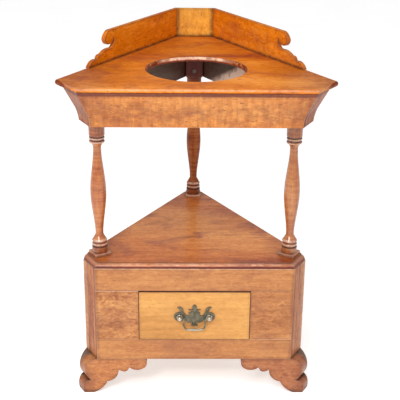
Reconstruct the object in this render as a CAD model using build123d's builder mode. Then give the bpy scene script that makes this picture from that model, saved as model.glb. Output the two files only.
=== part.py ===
from build123d import *
from math import cos, radians, sin, tan
import os

# A corner washstand: a flared top with a basin hole and a scrolled gallery, three
# turned posts, an open shelf, and a low case with one drawer on bracket feet.
# X runs left to right, Y from the front to the room's corner, Z up from the floor.
# The origin is on the floor, in the middle of the overall width and depth.

os.makedirs("parts", exist_ok=True)

# Plan of the stand, in millimetres and degrees
room_corner_angle = 60.0
top_depth = 574.0
corner_beyond_cut = 44.0
overcut = 60.0
level_tolerance = 0.05

# Top board and gallery
top_thickness = 11.5
top_cant_length = 92.5
top_cant_angle = 55.0
top_tip_radius = 8.0
top_edge_radius = 5.2
basin_hole_radius = 114.0
basin_hole_setback = 180.0
basin_rim_radius = 4.0
basin_under_radius = 1.2
gallery_thickness = 9.0
gallery_height = 73.0
gallery_panel_inset = 46.2
gallery_straight_length = 298.0
scroll_length = 100.5
gallery_edge_radius = 1.0

# Flared frieze under the top
frieze_height = 87.0
frieze_setback = 3.6
frieze_cant_length = 89.3
frieze_cant_angle = 62.5
frieze_flare_angle = 29.0
frieze_cove_radius = 70.0
frieze_thickness = 15.0
frieze_wall_inset = 8.0
frieze_wall_thickness = 13.0
frieze_end_lean = 22.9
frieze_wall_drop = 14.0
glue_block_width = 25.0
glue_block_height = 22.0
glue_block_length = 60.0
glue_block_inset = 88.5
cant_glue_block_length = 40.0
cant_glue_block_start = 32.0

# Turned posts and their plinths
front_post_wall_distance = 30.0
front_post_inset = 66.1
rear_post_inset = 24.0
post_block_width = 43.0
head_drum_radius = 19.8
head_drum_foot_radius = 18.6
base_drum_radius = 18.7
post_bead_radius = 18.6
post_belly_radius = 19.1
post_neck_radius = 9.6
post_taper_radius = 15.0
base_cushion_radius = 18.4
base_cushion_rise = 3.5
head_drum_length = 55.3
bead_length = 5.8
base_bead_length = 7.8
quirk_length = 3.0
quirk_depth = 2.6
head_taper_length = 10.6
vase_length = 219.0
base_flare_length = 20.9
base_drum_length = 14.6
tenon_radius = 9.5
tenon_clearance = 0.1
plinth_width = 41.0
plinth_thickness = 6.0
plinth_edge_radius = 1.0
screw_head_radius = 5.0
screw_head_depth = 2.4
screw_shank_radius = 2.0
screw_length = 30.0
screw_slot_width = 0.9
screw_slot_depth = 0.8
screw_height_in_block = 16.0

# Shelf and case
shelf_thickness = 11.0
shelf_inset = 1.5
shelf_edge_radius = 8.0
shelf_field_step = 2.0
shelf_field_margin = 12.5
case_height = 247.7
case_setback = 91.9
case_cant_length = 63.3
case_cant_angle = 60.0
case_wall_inset = 1.0
case_front_thickness = 20.0
case_cant_thickness = 18.0
case_wall_thickness = 14.0
case_edge_radius = 1.0
top_rail_height = 59.2
bottom_rail_height = 55.7
bottom_board_thickness = 12.0
drawer_opening_half = 136.0

# Drawer and the strips that carry it
runner_reach = 24.0
runner_height = 20.0
guide_width = 14.0
guide_height = 20.0
stop_length = 14.0
stop_width = 16.0
stop_height = 14.0
stop_offset = 4.0
drawer_corner_clearance = 22.8
drawer_front_thickness = 20.0
drawer_lap_depth = 12.0
drawer_side_thickness = 10.0
drawer_back_thickness = 10.0
drawer_bottom_thickness = 7.0
drawer_side_drop = 4.0
drawer_side_gap = 1.3
drawer_top_gap = 3.0
drawer_running_gap = 0.3
groove_height = 8.0
groove_depth = 5.0
groove_clearance = 0.2
drawer_edge_radius = 0.8

# Drawer pull
pull_height_share = 0.478
pull_post_spacing = 72.4
plate_thickness = 1.8
plate_overhang = 13.2
plate_top = 33.0
pull_shank_radius = 2.4
pull_hole_clearance = 0.1
pull_collar_radius = 6.6
pull_collar_length = 3.0
pull_stem_radius = 4.2
pull_ball_radius = 5.9
pull_pivot_reach = 9.5
pull_nut_width = 9.0
pull_nut_thickness = 3.0
pull_shank_overhang = 5.0
bail_radius = 2.0
bail_pin_clearance = 0.08
bail_shoulder_inset = 9.8
bail_drop = 30.0
bail_shoulder_radius = 4.5
bail_corner_radius = 13.0
bail_grip_radius = 3.0
bail_grip_half_length = 17.0

# Feet
foot_height = 96.0
foot_bracket_length = 122.4
foot_bracket_thickness = 28.0
foot_return_thickness = 20.0
foot_reach = 31.8
foot_block_gap = 36.0
foot_block_width = 18.0
rear_foot_depth = 46.0
rear_foot_chamfer = 4.0

# Scroll at the front end of each gallery board: shares of the scroll's length past
# the straight top edge, and of the gallery's height
scroll_shares = dict(
    crown=(0.23, 0.935),
    nose=(0.338, 0.755),
    chin=(0.27, 0.59),
    under=(0.135, 0.54),
    inside=(0.035, 0.575),
    notch=(-0.035, 0.745),
    notch_wall=(-0.062, 0.585),
    throat=(0.07, 0.40),
    upper_lobe=(0.32, 0.39),
    upper_step=(0.487, 0.30),
    middle_lobe=(0.60, 0.27),
    middle_step=(0.64, 0.18),
    lower_lobe=(0.87, 0.16),
)

# Cut edge of each front bracket: shares of the bracket's length from the case's
# corner towards the middle, and of the foot's height
bracket_shares = dict(
    apron_end=(0.962, 1.0),
    tip=(1.0, 0.86),
    tip_under=(0.93, 0.72),
    lobe=(0.80, 0.672),
    first_notch=(0.64, 0.75),
    tooth_side=(0.61, 0.66),
    tooth=(0.56, 0.625),
    tooth_back=(0.49, 0.635),
    second_notch=(0.425, 0.68),
    shoulder=(0.35, 0.43),
    cusp=(0.194, 0.332),
    instep=(0.05, 0.10),
    sole=(-0.10, 0.0),
)

# Ogee of the foot, seen along the cant: shares of its reach past the case and of its height
ogee_shares = dict(
    brow=(0.48, 0.93),
    knee=(0.85, 0.71),
    shin=(0.73, 0.50),
    ankle=(0.44, 0.36),
    toe_top=(0.82, 0.325),
    toe=(1.0, 0.21),
    toe_side=(1.0, 0.10),
    sole=(0.93, 0.0),
)

# Vase of each post: shares of its length upwards and of the swelling's radius
vase_shares = (
    (0.166, 0.66),
    (0.300, 0.855),
    (0.448, 1.0),
    (0.606, 0.935),
    (0.741, 0.755),
    (0.875, 0.57),
)

# Hollow of each post's flares: share of the step out that is reached halfway up
flare_hollow_share = 0.38

# Half outline of the pull's plate: shares of its half width and of its height above the posts
plate_shares = dict(
    leaf_tip=(0.0, 1.0),
    leaf_side=(0.105, 0.76),
    leaf_neck=(0.07, 0.60),
    upper_barb=(0.31, 0.60),
    hollow_start=(0.21, 0.53),
    hollow=(0.15, 0.455),
    hollow_end=(0.20, 0.385),
    lower_barb=(0.295, 0.36),
    lower_hollow=(0.25, 0.19),
    shoulder=(0.44, 0.19),
    horn_foot=(0.53, 0.37),
    horn_inner=(0.57, 0.62),
    horn_crown=(0.68, 0.80),
    horn_tip=(0.85, 0.76),
    horn_outer=(0.73, 0.62),
    horn_back=(0.70, 0.37),
    lobe_end=(1.0, 0.0),
    lobe_under=(0.68, -0.34),
    waist=(0.47, -0.22),
    belly=(0.27, -0.48),
    tail_root=(0.05, -0.40),
    tail_corner=(0.17, -0.70),
    tail_middle=(0.0, -0.78),
)

# Levels above the floor
case_bottom_z = foot_height
case_top_z = case_bottom_z + case_height
shelf_top_z = case_top_z + shelf_thickness
post_base_z = shelf_top_z + plinth_thickness
post_turned_length = (
    base_drum_length
    + base_bead_length
    + base_flare_length
    + vase_length
    + head_taper_length
    + 2 * bead_length
    + head_drum_length
    + 4 * quirk_length
)
frieze_bottom_z = post_base_z + post_turned_length
top_under_z = frieze_bottom_z + frieze_height
top_z = top_under_z + top_thickness
opening_bottom_z = case_bottom_z + bottom_rail_height
opening_top_z = case_top_z - top_rail_height

# Plan lines
front_y = -top_depth / 2
back_y = top_depth / 2
half_corner = radians(room_corner_angle / 2)
room_corner = Vector(0, back_y + corner_beyond_cut)
case_front_y = front_y + case_setback


def wall_half_width(y, inset):
    """Half the distance between the two wall lines at a depth, moved in by an inset."""
    return (room_corner.Y - y) * tan(half_corner) - inset / cos(half_corner)


def wall_depth(half_width, inset):
    """Depth at which the right wall line, moved in by an inset, has this half width."""
    return room_corner.Y - (half_width + inset / cos(half_corner)) / tan(half_corner)


def corner_outline(start_y, cant_length, cant_angle, wall_inset):
    """Six plan corners, anticlockwise from the front left: front, cants, walls and back cut."""
    cant = radians(cant_angle)
    cant_width = cant_length * (cos(cant) + sin(cant) * tan(half_corner))
    front_half = wall_half_width(start_y, wall_inset) - cant_width
    tip_x = front_half + cant_length * cos(cant)
    tip_y = start_y + cant_length * sin(cant)
    back_half = wall_half_width(back_y, wall_inset)
    return [
        Vector(-front_half, start_y),
        Vector(front_half, start_y),
        Vector(tip_x, tip_y),
        Vector(back_half, back_y),
        Vector(-back_half, back_y),
        Vector(-tip_x, tip_y),
    ]


def inset_outline(outline, front=0.0, cants=0.0, walls=0.0, back=0.0):
    """Move the sides of a plan outline inwards, each kind by its own amount."""
    insets = [front, cants, walls, back, walls, cants]
    sides = []
    for start, end, inset in zip(outline, outline[1:] + outline[:1], insets):
        along = (end - start).normalized()
        inward = Vector(-along.Y, along.X)
        sides.append((start + inward * inset, along))
    corners = []
    for (first, first_along), (second, second_along) in zip(sides[-1:] + sides[:-1], sides):
        gap = second - first
        turn = first_along.cross(second_along).Z
        reach = gap.cross(second_along).Z / turn
        corners.append(first + first_along * reach)
    return corners


def plan_face(points, z):
    """A flat face with the given plan corners at one height."""
    with BuildSketch(Plane.XY.offset(z)) as face:
        with BuildLine():
            Polyline(*points, close=True)
        make_face()
    return face.sketch


def edges_at(part, z):
    """The edges of a part that lie flat at one height."""
    low = z - level_tolerance
    high = z + level_tolerance
    return part.edges().filter_by_position(Axis.Z, low, high).filter_by(
        lambda edge: edge.bounding_box().size.Z < level_tolerance
    )


def save(part, name):
    """Label a finished piece and write it out."""
    part.label = name
    export_step(part, f"parts/{name}.step")


def save_pair(part, name):
    """Write a right-hand piece and its mirror image on the left."""
    save(part, f"{name}_right")
    save(mirror(part, about=Plane.YZ), f"{name}_left")


# Outlines shared by several pieces
top_outline = corner_outline(front_y, top_cant_length, top_cant_angle, 0)
frieze_outline = corner_outline(
    front_y + frieze_setback, frieze_cant_length, frieze_cant_angle, frieze_wall_inset
)
frieze_corner_half = frieze_outline[1].X
case_outline = corner_outline(case_front_y, case_cant_length, case_cant_angle, case_wall_inset)
case_front_half = case_outline[1].X
case_inside = inset_outline(
    case_outline,
    front=case_front_thickness,
    cants=case_cant_thickness,
    walls=case_wall_thickness,
    back=case_wall_thickness,
)
case_wall_inside = inset_outline(case_outline, walls=case_wall_thickness)
rear_post_center = Vector(0, back_y - rear_post_inset)
front_post_y = case_front_y + front_post_inset
front_post_center = Vector(wall_half_width(front_post_y, front_post_wall_distance), front_post_y)
wall_normal = Vector(cos(half_corner), sin(half_corner))
cant_normal = Vector(sin(radians(case_cant_angle)), -cos(radians(case_cant_angle)))


# Top board: bullnosed along the front and the cants, with the basin hole
top_tip_y = top_outline[2].Y
with BuildPart() as top_board:
    extrude(plan_face(top_outline, top_under_z), amount=top_thickness)
    with Locations((0, front_y + basin_hole_setback, top_z)):
        Hole(basin_hole_radius)
    tip_edges = top_board.edges().filter_by(Axis.Z).filter_by(
        lambda edge: abs(edge.center().Y - top_tip_y) < top_tip_radius
    )
    fillet(tip_edges, top_tip_radius)
    for level in (top_z, top_under_z):
        front_edges = edges_at(top_board.part, level).filter_by(
            lambda edge: edge.center().Y < top_tip_y + top_tip_radius
        )
        fillet(front_edges, top_edge_radius)
    for level, rim_radius in ((top_z, basin_rim_radius), (top_under_z, basin_under_radius)):
        rim = edges_at(top_board.part, level).filter_by(GeomType.CIRCLE).sort_by(Edge.length)[-1]
        fillet(rim, rim_radius)
save(top_board.part, "top_board")


# Gallery: two scrolled boards along the walls, mitred to a panel across the corner
gallery_back_y = back_y - gallery_panel_inset
gallery_outline = [
    *top_outline[:3],
    Vector(wall_half_width(gallery_back_y, 0), gallery_back_y),
    Vector(-wall_half_width(gallery_back_y, 0), gallery_back_y),
    top_outline[5],
]
gallery_inside = inset_outline(gallery_outline, walls=gallery_thickness, back=gallery_thickness)
along_right_wall = Vector(sin(half_corner), -cos(half_corner))
board_plane = Plane(
    origin=gallery_inside[3] + Vector(0, 0, top_z),
    x_dir=along_right_wall,
    z_dir=-wall_normal,
)


def scroll_point(name):
    """A named point of the scroll, along the board and above the top."""
    along_share, height_share = scroll_shares[name]
    return (
        gallery_straight_length + along_share * scroll_length,
        height_share * gallery_height,
    )


with BuildPart() as gallery_side:
    with BuildSketch(board_plane) as board_face:
        with BuildLine():
            board_end = gallery_straight_length + scroll_length
            straight_end = (gallery_straight_length, gallery_height)
            Line((-gallery_thickness, gallery_height), straight_end)
            ThreePointArc(straight_end, scroll_point("crown"), scroll_point("nose"))
            ThreePointArc(scroll_point("nose"), scroll_point("chin"), scroll_point("under"))
            ThreePointArc(scroll_point("under"), scroll_point("inside"), scroll_point("notch"))
            ThreePointArc(scroll_point("notch"), scroll_point("notch_wall"), scroll_point("throat"))
            ThreePointArc(
                scroll_point("throat"), scroll_point("upper_lobe"), scroll_point("upper_step")
            )
            ThreePointArc(
                scroll_point("upper_step"), scroll_point("middle_lobe"), scroll_point("middle_step")
            )
            ThreePointArc(scroll_point("middle_step"), scroll_point("lower_lobe"), (board_end, 0))
            Polyline(
                (board_end, 0),
                (-gallery_thickness, 0),
                (-gallery_thickness, gallery_height),
            )
        make_face()
    extrude(board_face.sketch, amount=-gallery_thickness)
    side_plan = [gallery_outline[2], gallery_outline[3], gallery_inside[3], gallery_inside[2]]
    extrude(plan_face(side_plan, top_z), amount=gallery_height, mode=Mode.INTERSECT)
    long_top_edges = edges_at(gallery_side.part, top_z + gallery_height).filter_by(
        lambda edge: edge.length > gallery_straight_length / 2
    )
    fillet(long_top_edges, gallery_edge_radius)
save_pair(gallery_side.part, "gallery_side")

with BuildPart() as gallery_panel:
    panel_plan = [gallery_outline[3], gallery_outline[4], gallery_inside[4], gallery_inside[3]]
    extrude(plan_face(panel_plan, top_z), amount=gallery_height)
    fillet(
        edges_at(gallery_panel.part, top_z + gallery_height).filter_by(Axis.X),
        gallery_edge_radius,
    )
save(gallery_panel.part, "gallery_corner_panel")


# Frieze: flared front and cant boards, coved at the foot, and plain boards on the walls,
# which hang lower than the front between the posts. The cants' rear ends lean inwards.
flare = radians(frieze_flare_angle)
cove_height = frieze_cove_radius * sin(flare)
cove_depth = frieze_cove_radius * (1 - cos(flare))
flare_depth = (frieze_height - cove_height) * tan(flare)
frieze_foot_depth = flare_depth + cove_depth
frieze_reach = frieze_foot_depth + frieze_thickness


def section_plane(start, end, z):
    """Plane across a board: local X inwards from its outer line, local Y up."""
    along = (end - start).normalized()
    return Plane(origin=start + Vector(0, 0, z), x_dir=Vector(-along.Y, along.X), z_dir=along)


def frieze_section(plane, inner_depth_top, inner_depth_foot):
    """Section of the flared frieze between its coved face and a leaning inner line."""
    with BuildSketch(plane) as section:
        with BuildLine():
            Line((0, 0), (flare_depth, cove_height - frieze_height))
            ThreePointArc(
                (flare_depth, cove_height - frieze_height),
                (
                    frieze_foot_depth - frieze_cove_radius * (1 - cos(flare / 2)),
                    frieze_cove_radius * sin(flare / 2) - frieze_height,
                ),
                (frieze_foot_depth, -frieze_height),
            )
            Polyline(
                (frieze_foot_depth, -frieze_height),
                (inner_depth_foot, -frieze_height),
                (inner_depth_top, 0),
                (0, 0),
            )
        make_face()
    return section.sketch


frieze_inside = inset_outline(
    frieze_outline,
    front=frieze_reach,
    cants=frieze_reach,
    walls=frieze_wall_thickness,
)
frieze_wall_inside = inset_outline(frieze_outline, walls=frieze_wall_thickness)
front_section = section_plane(frieze_outline[0], frieze_outline[1], top_under_z)
cant_section = section_plane(frieze_outline[1], frieze_outline[2], top_under_z)
wall_section = section_plane(frieze_outline[2], frieze_outline[3], top_under_z)


def inner_section(plane, depth_top, depth_foot):
    """Section of all that lies inside a line which leans from one depth to another."""
    with BuildSketch(plane) as section:
        with BuildLine():
            Polyline(
                (depth_top, 0),
                (depth_foot, -frieze_height),
                (2 * top_depth, -frieze_height),
                (2 * top_depth, 0),
                close=True,
            )
        make_face()
    return section.sketch


with BuildPart() as frieze_front:
    extrude(
        frieze_section(front_section, frieze_thickness, frieze_reach),
        amount=2 * frieze_corner_half,
    )
    front_plan = [*frieze_outline[:2], frieze_inside[1], frieze_inside[0]]
    extrude(plan_face(front_plan, frieze_bottom_z), amount=frieze_height, mode=Mode.INTERSECT)
save(frieze_front.part, "frieze_front")

with BuildPart() as frieze_cant:
    extrude(
        frieze_section(cant_section, frieze_thickness, frieze_reach),
        amount=frieze_corner_half,
        both=True,
    )
    cant_inside = inset_outline(frieze_outline, front=frieze_reach, cants=frieze_reach)
    cant_plan = [frieze_outline[1], frieze_outline[2], cant_inside[2], cant_inside[1]]
    extrude(plan_face(cant_plan, frieze_bottom_z), amount=frieze_height, mode=Mode.INTERSECT)
    extrude(
        inner_section(wall_section, 0, frieze_end_lean),
        amount=2 * top_depth,
        both=True,
        mode=Mode.INTERSECT,
    )
save_pair(frieze_cant.part, "frieze_cant")

block_half = post_block_width / 2
with BuildPart() as frieze_wall:
    wall_plan = [
        frieze_outline[2],
        Vector(block_half, wall_depth(block_half, frieze_wall_inset)),
        Vector(block_half, wall_depth(block_half, frieze_wall_inset + frieze_wall_thickness)),
        frieze_wall_inside[2],
    ]
    extrude(plan_face(wall_plan, frieze_bottom_z), amount=frieze_height)
    extrude(
        inner_section(cant_section, frieze_thickness, frieze_reach),
        amount=top_depth,
        both=True,
        mode=Mode.INTERSECT,
    )
    drop_start = (
        front_post_center
        + wall_normal * (front_post_wall_distance - frieze_wall_inset)
        - along_right_wall * block_half
    )
    drop_plan = [
        drop_start,
        wall_plan[1],
        wall_plan[2],
        drop_start - wall_normal * frieze_wall_thickness,
    ]
    extrude(plan_face(drop_plan, frieze_bottom_z - frieze_wall_drop), amount=frieze_wall_drop)
save_pair(frieze_wall.part, "frieze_wall")


# Glue blocks in the angle between the top and the flared boards
def glue_block_face(plane):
    """Triangle between the leaning inner face and the underside of the top."""
    lean = (frieze_reach - frieze_thickness) / frieze_height
    with BuildSketch(plane) as face:
        with BuildLine():
            Polyline(
                (frieze_thickness, 0),
                (frieze_thickness + lean * glue_block_height, -glue_block_height),
                (frieze_thickness + glue_block_width, 0),
                close=True,
            )
        make_face()
    return face.sketch


with BuildPart() as glue_blocks:
    for side in (-1, 1):
        middle = frieze_corner_half + side * (frieze_corner_half - glue_block_inset)
        start = middle - glue_block_length / 2
        extrude(glue_block_face(front_section.offset(start)), amount=glue_block_length)
    extrude(
        glue_block_face(cant_section.offset(cant_glue_block_start)),
        amount=cant_glue_block_length,
    )
    mirror(
        glue_blocks.solids().sort_by(Axis.Y)[-1],
        about=Plane.YZ,
    )
save(glue_blocks.part, "frieze_glue_blocks")


# Turned posts: drum, beads, taper, vase, cushion, bead and drum, on a round tenon
def post_profile(center):
    """Half section of the turned part of a post, from the tenon up to the frieze."""
    plane = Plane(origin=center, x_dir=Vector(1, 0, 0), z_dir=Vector(0, -1, 0))
    tenon_z = post_base_z - plinth_thickness - shelf_thickness
    drum_top = post_base_z + base_drum_length
    bead_foot = drum_top + quirk_length
    bead_top = bead_foot + base_bead_length
    flare_foot = bead_top + quirk_length
    vase_foot = flare_foot + base_flare_length
    vase_top = vase_foot + vase_length
    taper_top = vase_top + head_taper_length
    quirk_radius = post_bead_radius - quirk_depth
    cushion_z = flare_foot + base_cushion_rise
    base_hollow = post_neck_radius + flare_hollow_share * (base_cushion_radius - post_neck_radius)
    head_hollow = post_neck_radius + flare_hollow_share * (post_taper_radius - post_neck_radius)
    with BuildSketch(plane) as profile:
        with BuildLine():
            Polyline(
                (0, tenon_z),
                (tenon_radius, tenon_z),
                (tenon_radius, post_base_z),
                (base_drum_radius, post_base_z),
                (base_drum_radius, drum_top),
                (quirk_radius, drum_top),
                (quirk_radius, bead_foot),
            )
            ThreePointArc(
                (quirk_radius, bead_foot),
                (post_bead_radius, bead_foot + base_bead_length / 2),
                (quirk_radius, bead_top),
            )
            Line((quirk_radius, bead_top), (quirk_radius, flare_foot))
            Spline(
                (quirk_radius, flare_foot),
                (base_cushion_radius, cushion_z),
                tangents=((1, 0), (0, 1)),
            )
            Spline(
                (base_cushion_radius, cushion_z),
                (base_hollow, (cushion_z + vase_foot) / 2),
                (post_neck_radius, vase_foot),
                tangents=((-1, 1), (0, 1)),
            )
            swelling = [
                (radius_share * post_belly_radius, vase_foot + length_share * vase_length)
                for length_share, radius_share in vase_shares
            ]
            Spline(
                (post_neck_radius, vase_foot),
                *swelling,
                (post_neck_radius, vase_top),
                tangents=((0, 1), (0, 1)),
            )
            Spline(
                (post_neck_radius, vase_top),
                (head_hollow, vase_top + head_taper_length / 2),
                (post_taper_radius, taper_top),
                tangents=((0, 1), (1, 1)),
            )
            bead_start = (post_taper_radius, taper_top)
            for _ in range(2):
                foot_z = bead_start[1]
                ThreePointArc(
                    bead_start,
                    (post_bead_radius, foot_z + bead_length / 2),
                    (quirk_radius, foot_z + bead_length),
                )
                bead_end = (quirk_radius, foot_z + bead_length + quirk_length)
                Line((quirk_radius, foot_z + bead_length), bead_end)
                bead_start = bead_end
            Polyline(
                bead_start,
                (head_drum_foot_radius, bead_start[1]),
                (head_drum_radius, frieze_bottom_z),
                (0, frieze_bottom_z),
                (0, tenon_z),
            )
        make_face()
    return profile.sketch


def block_plane(center, x_dir, z):
    """Plane for the foot of a square head block."""
    return Plane(origin=center + Vector(0, 0, z), x_dir=x_dir, z_dir=(0, 0, 1))


wall_board_inner_distance = frieze_wall_inset + frieze_wall_thickness
notch_plane = Plane(
    origin=room_corner - wall_normal * wall_board_inner_distance,
    z_dir=wall_normal,
)

with BuildPart() as front_post:
    with BuildSketch(block_plane(front_post_center, wall_normal, frieze_bottom_z)):
        Rectangle(post_block_width, post_block_width)
    extrude(amount=frieze_height)
    split(bisect_by=notch_plane, keep=Keep.BOTTOM)
    revolve(post_profile(front_post_center), axis=Axis(front_post_center, (0, 0, 1)))
save_pair(front_post.part, "front_post")

rear_block_z = frieze_bottom_z - frieze_wall_drop
screw_z = rear_block_z + screw_height_in_block
screw_face_y = rear_post_center.Y - block_half
screw_plane = Plane(origin=(0, screw_face_y, screw_z), x_dir=(1, 0, 0), z_dir=(0, -1, 0))


def screw_profile():
    """Half section of a countersunk screw, drawn along its axis into the wood."""
    plane = Plane(origin=screw_plane.origin, x_dir=(1, 0, 0), z_dir=(0, 0, 1))
    with BuildSketch(plane) as profile:
        with BuildLine():
            Polyline(
                (0, 0),
                (screw_head_radius, 0),
                (screw_shank_radius, screw_head_depth),
                (screw_shank_radius, screw_length),
                (0, screw_length + screw_shank_radius),
                close=True,
            )
        make_face()
    return profile.sketch


screw_axis = Axis(screw_plane.origin, (0, 1, 0))
with BuildPart() as rear_post:
    with BuildSketch(block_plane(rear_post_center, Vector(1, 0, 0), rear_block_z)):
        Rectangle(post_block_width, post_block_width)
    extrude(amount=frieze_height + frieze_wall_drop)
    revolve(post_profile(rear_post_center), axis=Axis(rear_post_center, (0, 0, 1)))
    revolve(screw_profile(), axis=screw_axis, mode=Mode.SUBTRACT)
save(rear_post.part, "rear_post")

with BuildPart() as rear_post_screw:
    revolve(screw_profile(), axis=screw_axis)
    with BuildSketch(screw_plane):
        Rectangle(2 * screw_head_radius, screw_slot_width)
    extrude(amount=-screw_slot_depth, mode=Mode.SUBTRACT)
save(rear_post_screw.part, "rear_post_screw")


# Square plinths under the posts
def plinth(center, x_dir):
    """A thin square plinth with a hole for the post's tenon."""
    plane = Plane(origin=center + Vector(0, 0, shelf_top_z), x_dir=x_dir, z_dir=(0, 0, 1))
    with BuildPart() as pad:
        with BuildSketch(plane):
            Rectangle(plinth_width, plinth_width)
            Circle(tenon_radius + tenon_clearance, mode=Mode.SUBTRACT)
        extrude(amount=plinth_thickness)
        top_edges = pad.faces().sort_by(Axis.Z)[-1].outer_wire().edges()
        fillet(top_edges, plinth_edge_radius)
    return pad.part


save_pair(plinth(front_post_center, cant_normal), "front_plinth")
save(plinth(rear_post_center, Vector(1, 0, 0)), "rear_plinth")


# Shelf board: an ovolo edge with a fine step up to the flat field
shelf_outline = inset_outline(
    case_outline, front=shelf_inset, cants=shelf_inset, walls=shelf_inset, back=shelf_inset
)
shelf_field = inset_outline(shelf_outline, front=shelf_field_margin, cants=shelf_field_margin)
shelf_step_z = shelf_top_z - shelf_field_step
with BuildPart() as shelf_board:
    extrude(plan_face(shelf_outline, case_top_z), amount=shelf_thickness - shelf_field_step)
    step_edges = edges_at(shelf_board.part, shelf_step_z).filter_by(
        lambda edge: edge.center().Y < shelf_outline[2].Y
    )
    fillet(step_edges, shelf_edge_radius)
    extrude(plan_face(shelf_field, shelf_step_z), amount=shelf_field_step)
    left_post_center = Vector(-front_post_center.X, front_post_center.Y)
    for center in (front_post_center, left_post_center, rear_post_center):
        with Locations(center + Vector(0, 0, shelf_top_z)):
            Hole(tenon_radius + tenon_clearance)
save(shelf_board.part, "shelf_board")


# Case: rails and panels in front, cant boards, wall boards, corner board and bottom
case_front_plan = [*case_outline[:2], case_inside[1], case_inside[0]]
for name, bottom_z, height, rounded in (
    ("case_top_rail", opening_top_z, top_rail_height, -1),
    ("case_bottom_rail", case_bottom_z, bottom_rail_height, 0),
):
    with BuildPart() as rail:
        extrude(plan_face(case_front_plan, bottom_z), amount=height)
        front_edges = rail.faces().sort_by(Axis.Y)[0].edges().filter_by(Axis.X)
        fillet(front_edges.sort_by(Axis.Z)[rounded], case_edge_radius)
    save(rail.part, name)

case_front_back_y = case_front_y + case_front_thickness
with BuildPart() as case_panel:
    panel_plan = [
        Vector(drawer_opening_half, case_front_y),
        case_outline[1],
        case_inside[1],
        Vector(drawer_opening_half, case_front_back_y),
    ]
    extrude(plan_face(panel_plan, opening_bottom_z), amount=opening_top_z - opening_bottom_z)
save_pair(case_panel.part, "case_front_panel")

with BuildPart() as case_cant:
    cant_plan = [case_outline[1], case_wall_inside[2], case_inside[2], case_inside[1]]
    extrude(plan_face(cant_plan, case_bottom_z), amount=case_height)
    for level in (case_top_z, case_bottom_z):
        level_edges = edges_at(case_cant.part, level)
        outer_edge = level_edges.sort_by(lambda edge: edge.center().dot(cant_normal))[-1]
        fillet(outer_edge, case_edge_radius)
save_pair(case_cant.part, "case_cant")

with BuildPart() as case_wall:
    wall_plan = [case_outline[2], case_outline[3], case_inside[3], case_wall_inside[2]]
    extrude(plan_face(wall_plan, case_bottom_z), amount=case_height)
save_pair(case_wall.part, "case_wall")

with BuildPart() as case_corner_board:
    corner_plan = [case_outline[3], case_outline[4], case_inside[4], case_inside[3]]
    extrude(plan_face(corner_plan, case_bottom_z), amount=case_height)
save(case_corner_board.part, "case_corner_board")

with BuildPart() as case_bottom:
    extrude(plan_face(case_inside, case_bottom_z), amount=bottom_board_thickness)
save(case_bottom.part, "case_bottom")


# Strips inside the case: runners under the drawer, guides beside it, kickers above it
case_wall_depth = case_wall_inset + case_wall_thickness
runner_inner_half = drawer_opening_half - runner_reach
drawer_half = drawer_opening_half - drawer_side_gap
drawer_back_y = wall_depth(drawer_half, case_wall_depth) - drawer_corner_clearance


def strip_plan(inner_half, outer_half):
    """Plan of a strip from the front frame back to the wall board it is glued to."""
    return [
        Vector(inner_half, case_front_back_y),
        Vector(outer_half, case_front_back_y),
        Vector(outer_half, wall_depth(outer_half, case_wall_depth)),
        Vector(inner_half, wall_depth(inner_half, case_wall_depth)),
    ]


guide_outer_half = drawer_opening_half + guide_width
for name, inner_half, bottom_z, height in (
    ("drawer_runner", runner_inner_half, opening_bottom_z - runner_height, runner_height),
    ("drawer_guide", drawer_opening_half, opening_bottom_z, guide_height),
    ("drawer_kicker", runner_inner_half, opening_top_z, runner_height),
):
    with BuildPart() as strip:
        extrude(plan_face(strip_plan(inner_half, guide_outer_half), bottom_z), amount=height)
    save_pair(strip.part, name)

stop_y = drawer_back_y + drawer_running_gap
with BuildPart() as drawer_stops:
    stop_inner_half = runner_inner_half + stop_offset
    for side in (-1, 1):
        stop_center = Vector(side * (stop_inner_half + stop_width / 2), stop_y + stop_length / 2)
        with BuildSketch(Plane.XY.offset(opening_bottom_z)) as stop_face:
            with Locations(stop_center):
                Rectangle(stop_width, stop_length)
        extrude(stop_face.sketch, amount=stop_height)
save(drawer_stops.part, "drawer_stops")


# Drawer: a flush front lapped over two sides, a back, and a bottom held in grooves
drawer_bottom_z = opening_bottom_z + drawer_running_gap
drawer_front_height = opening_top_z - drawer_top_gap - drawer_bottom_z
drawer_side_height = drawer_front_height - drawer_side_drop
drawer_inner_half = drawer_half - drawer_side_thickness
front_inner_y = case_front_y + drawer_front_thickness
lap_y = front_inner_y - drawer_lap_depth
groove_z = drawer_bottom_z + groove_height
groove_top_z = groove_z + drawer_bottom_thickness + groove_clearance
pull_z = opening_bottom_z + pull_height_share * (opening_top_z - opening_bottom_z)
pull_half = pull_post_spacing / 2
plate_half_width = pull_half + plate_overhang
bail_half_width = pull_half - bail_shoulder_inset


def rectangle_face(x_start, x_end, y_start, y_end, z):
    """A plan rectangle between two widths and two depths."""
    corners = [
        Vector(x_start, y_start),
        Vector(x_end, y_start),
        Vector(x_end, y_end),
        Vector(x_start, y_end),
    ]
    return plan_face(corners, z)


groove_face = rectangle_face(
    -drawer_inner_half - groove_depth,
    drawer_inner_half + groove_depth,
    front_inner_y - groove_depth,
    drawer_back_y,
    groove_z,
)
pull_plane = Plane(origin=(0, case_front_y, pull_z), x_dir=(1, 0, 0), z_dir=(0, -1, 0))
pull_post_places = [(-pull_half, 0), (pull_half, 0)]

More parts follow.
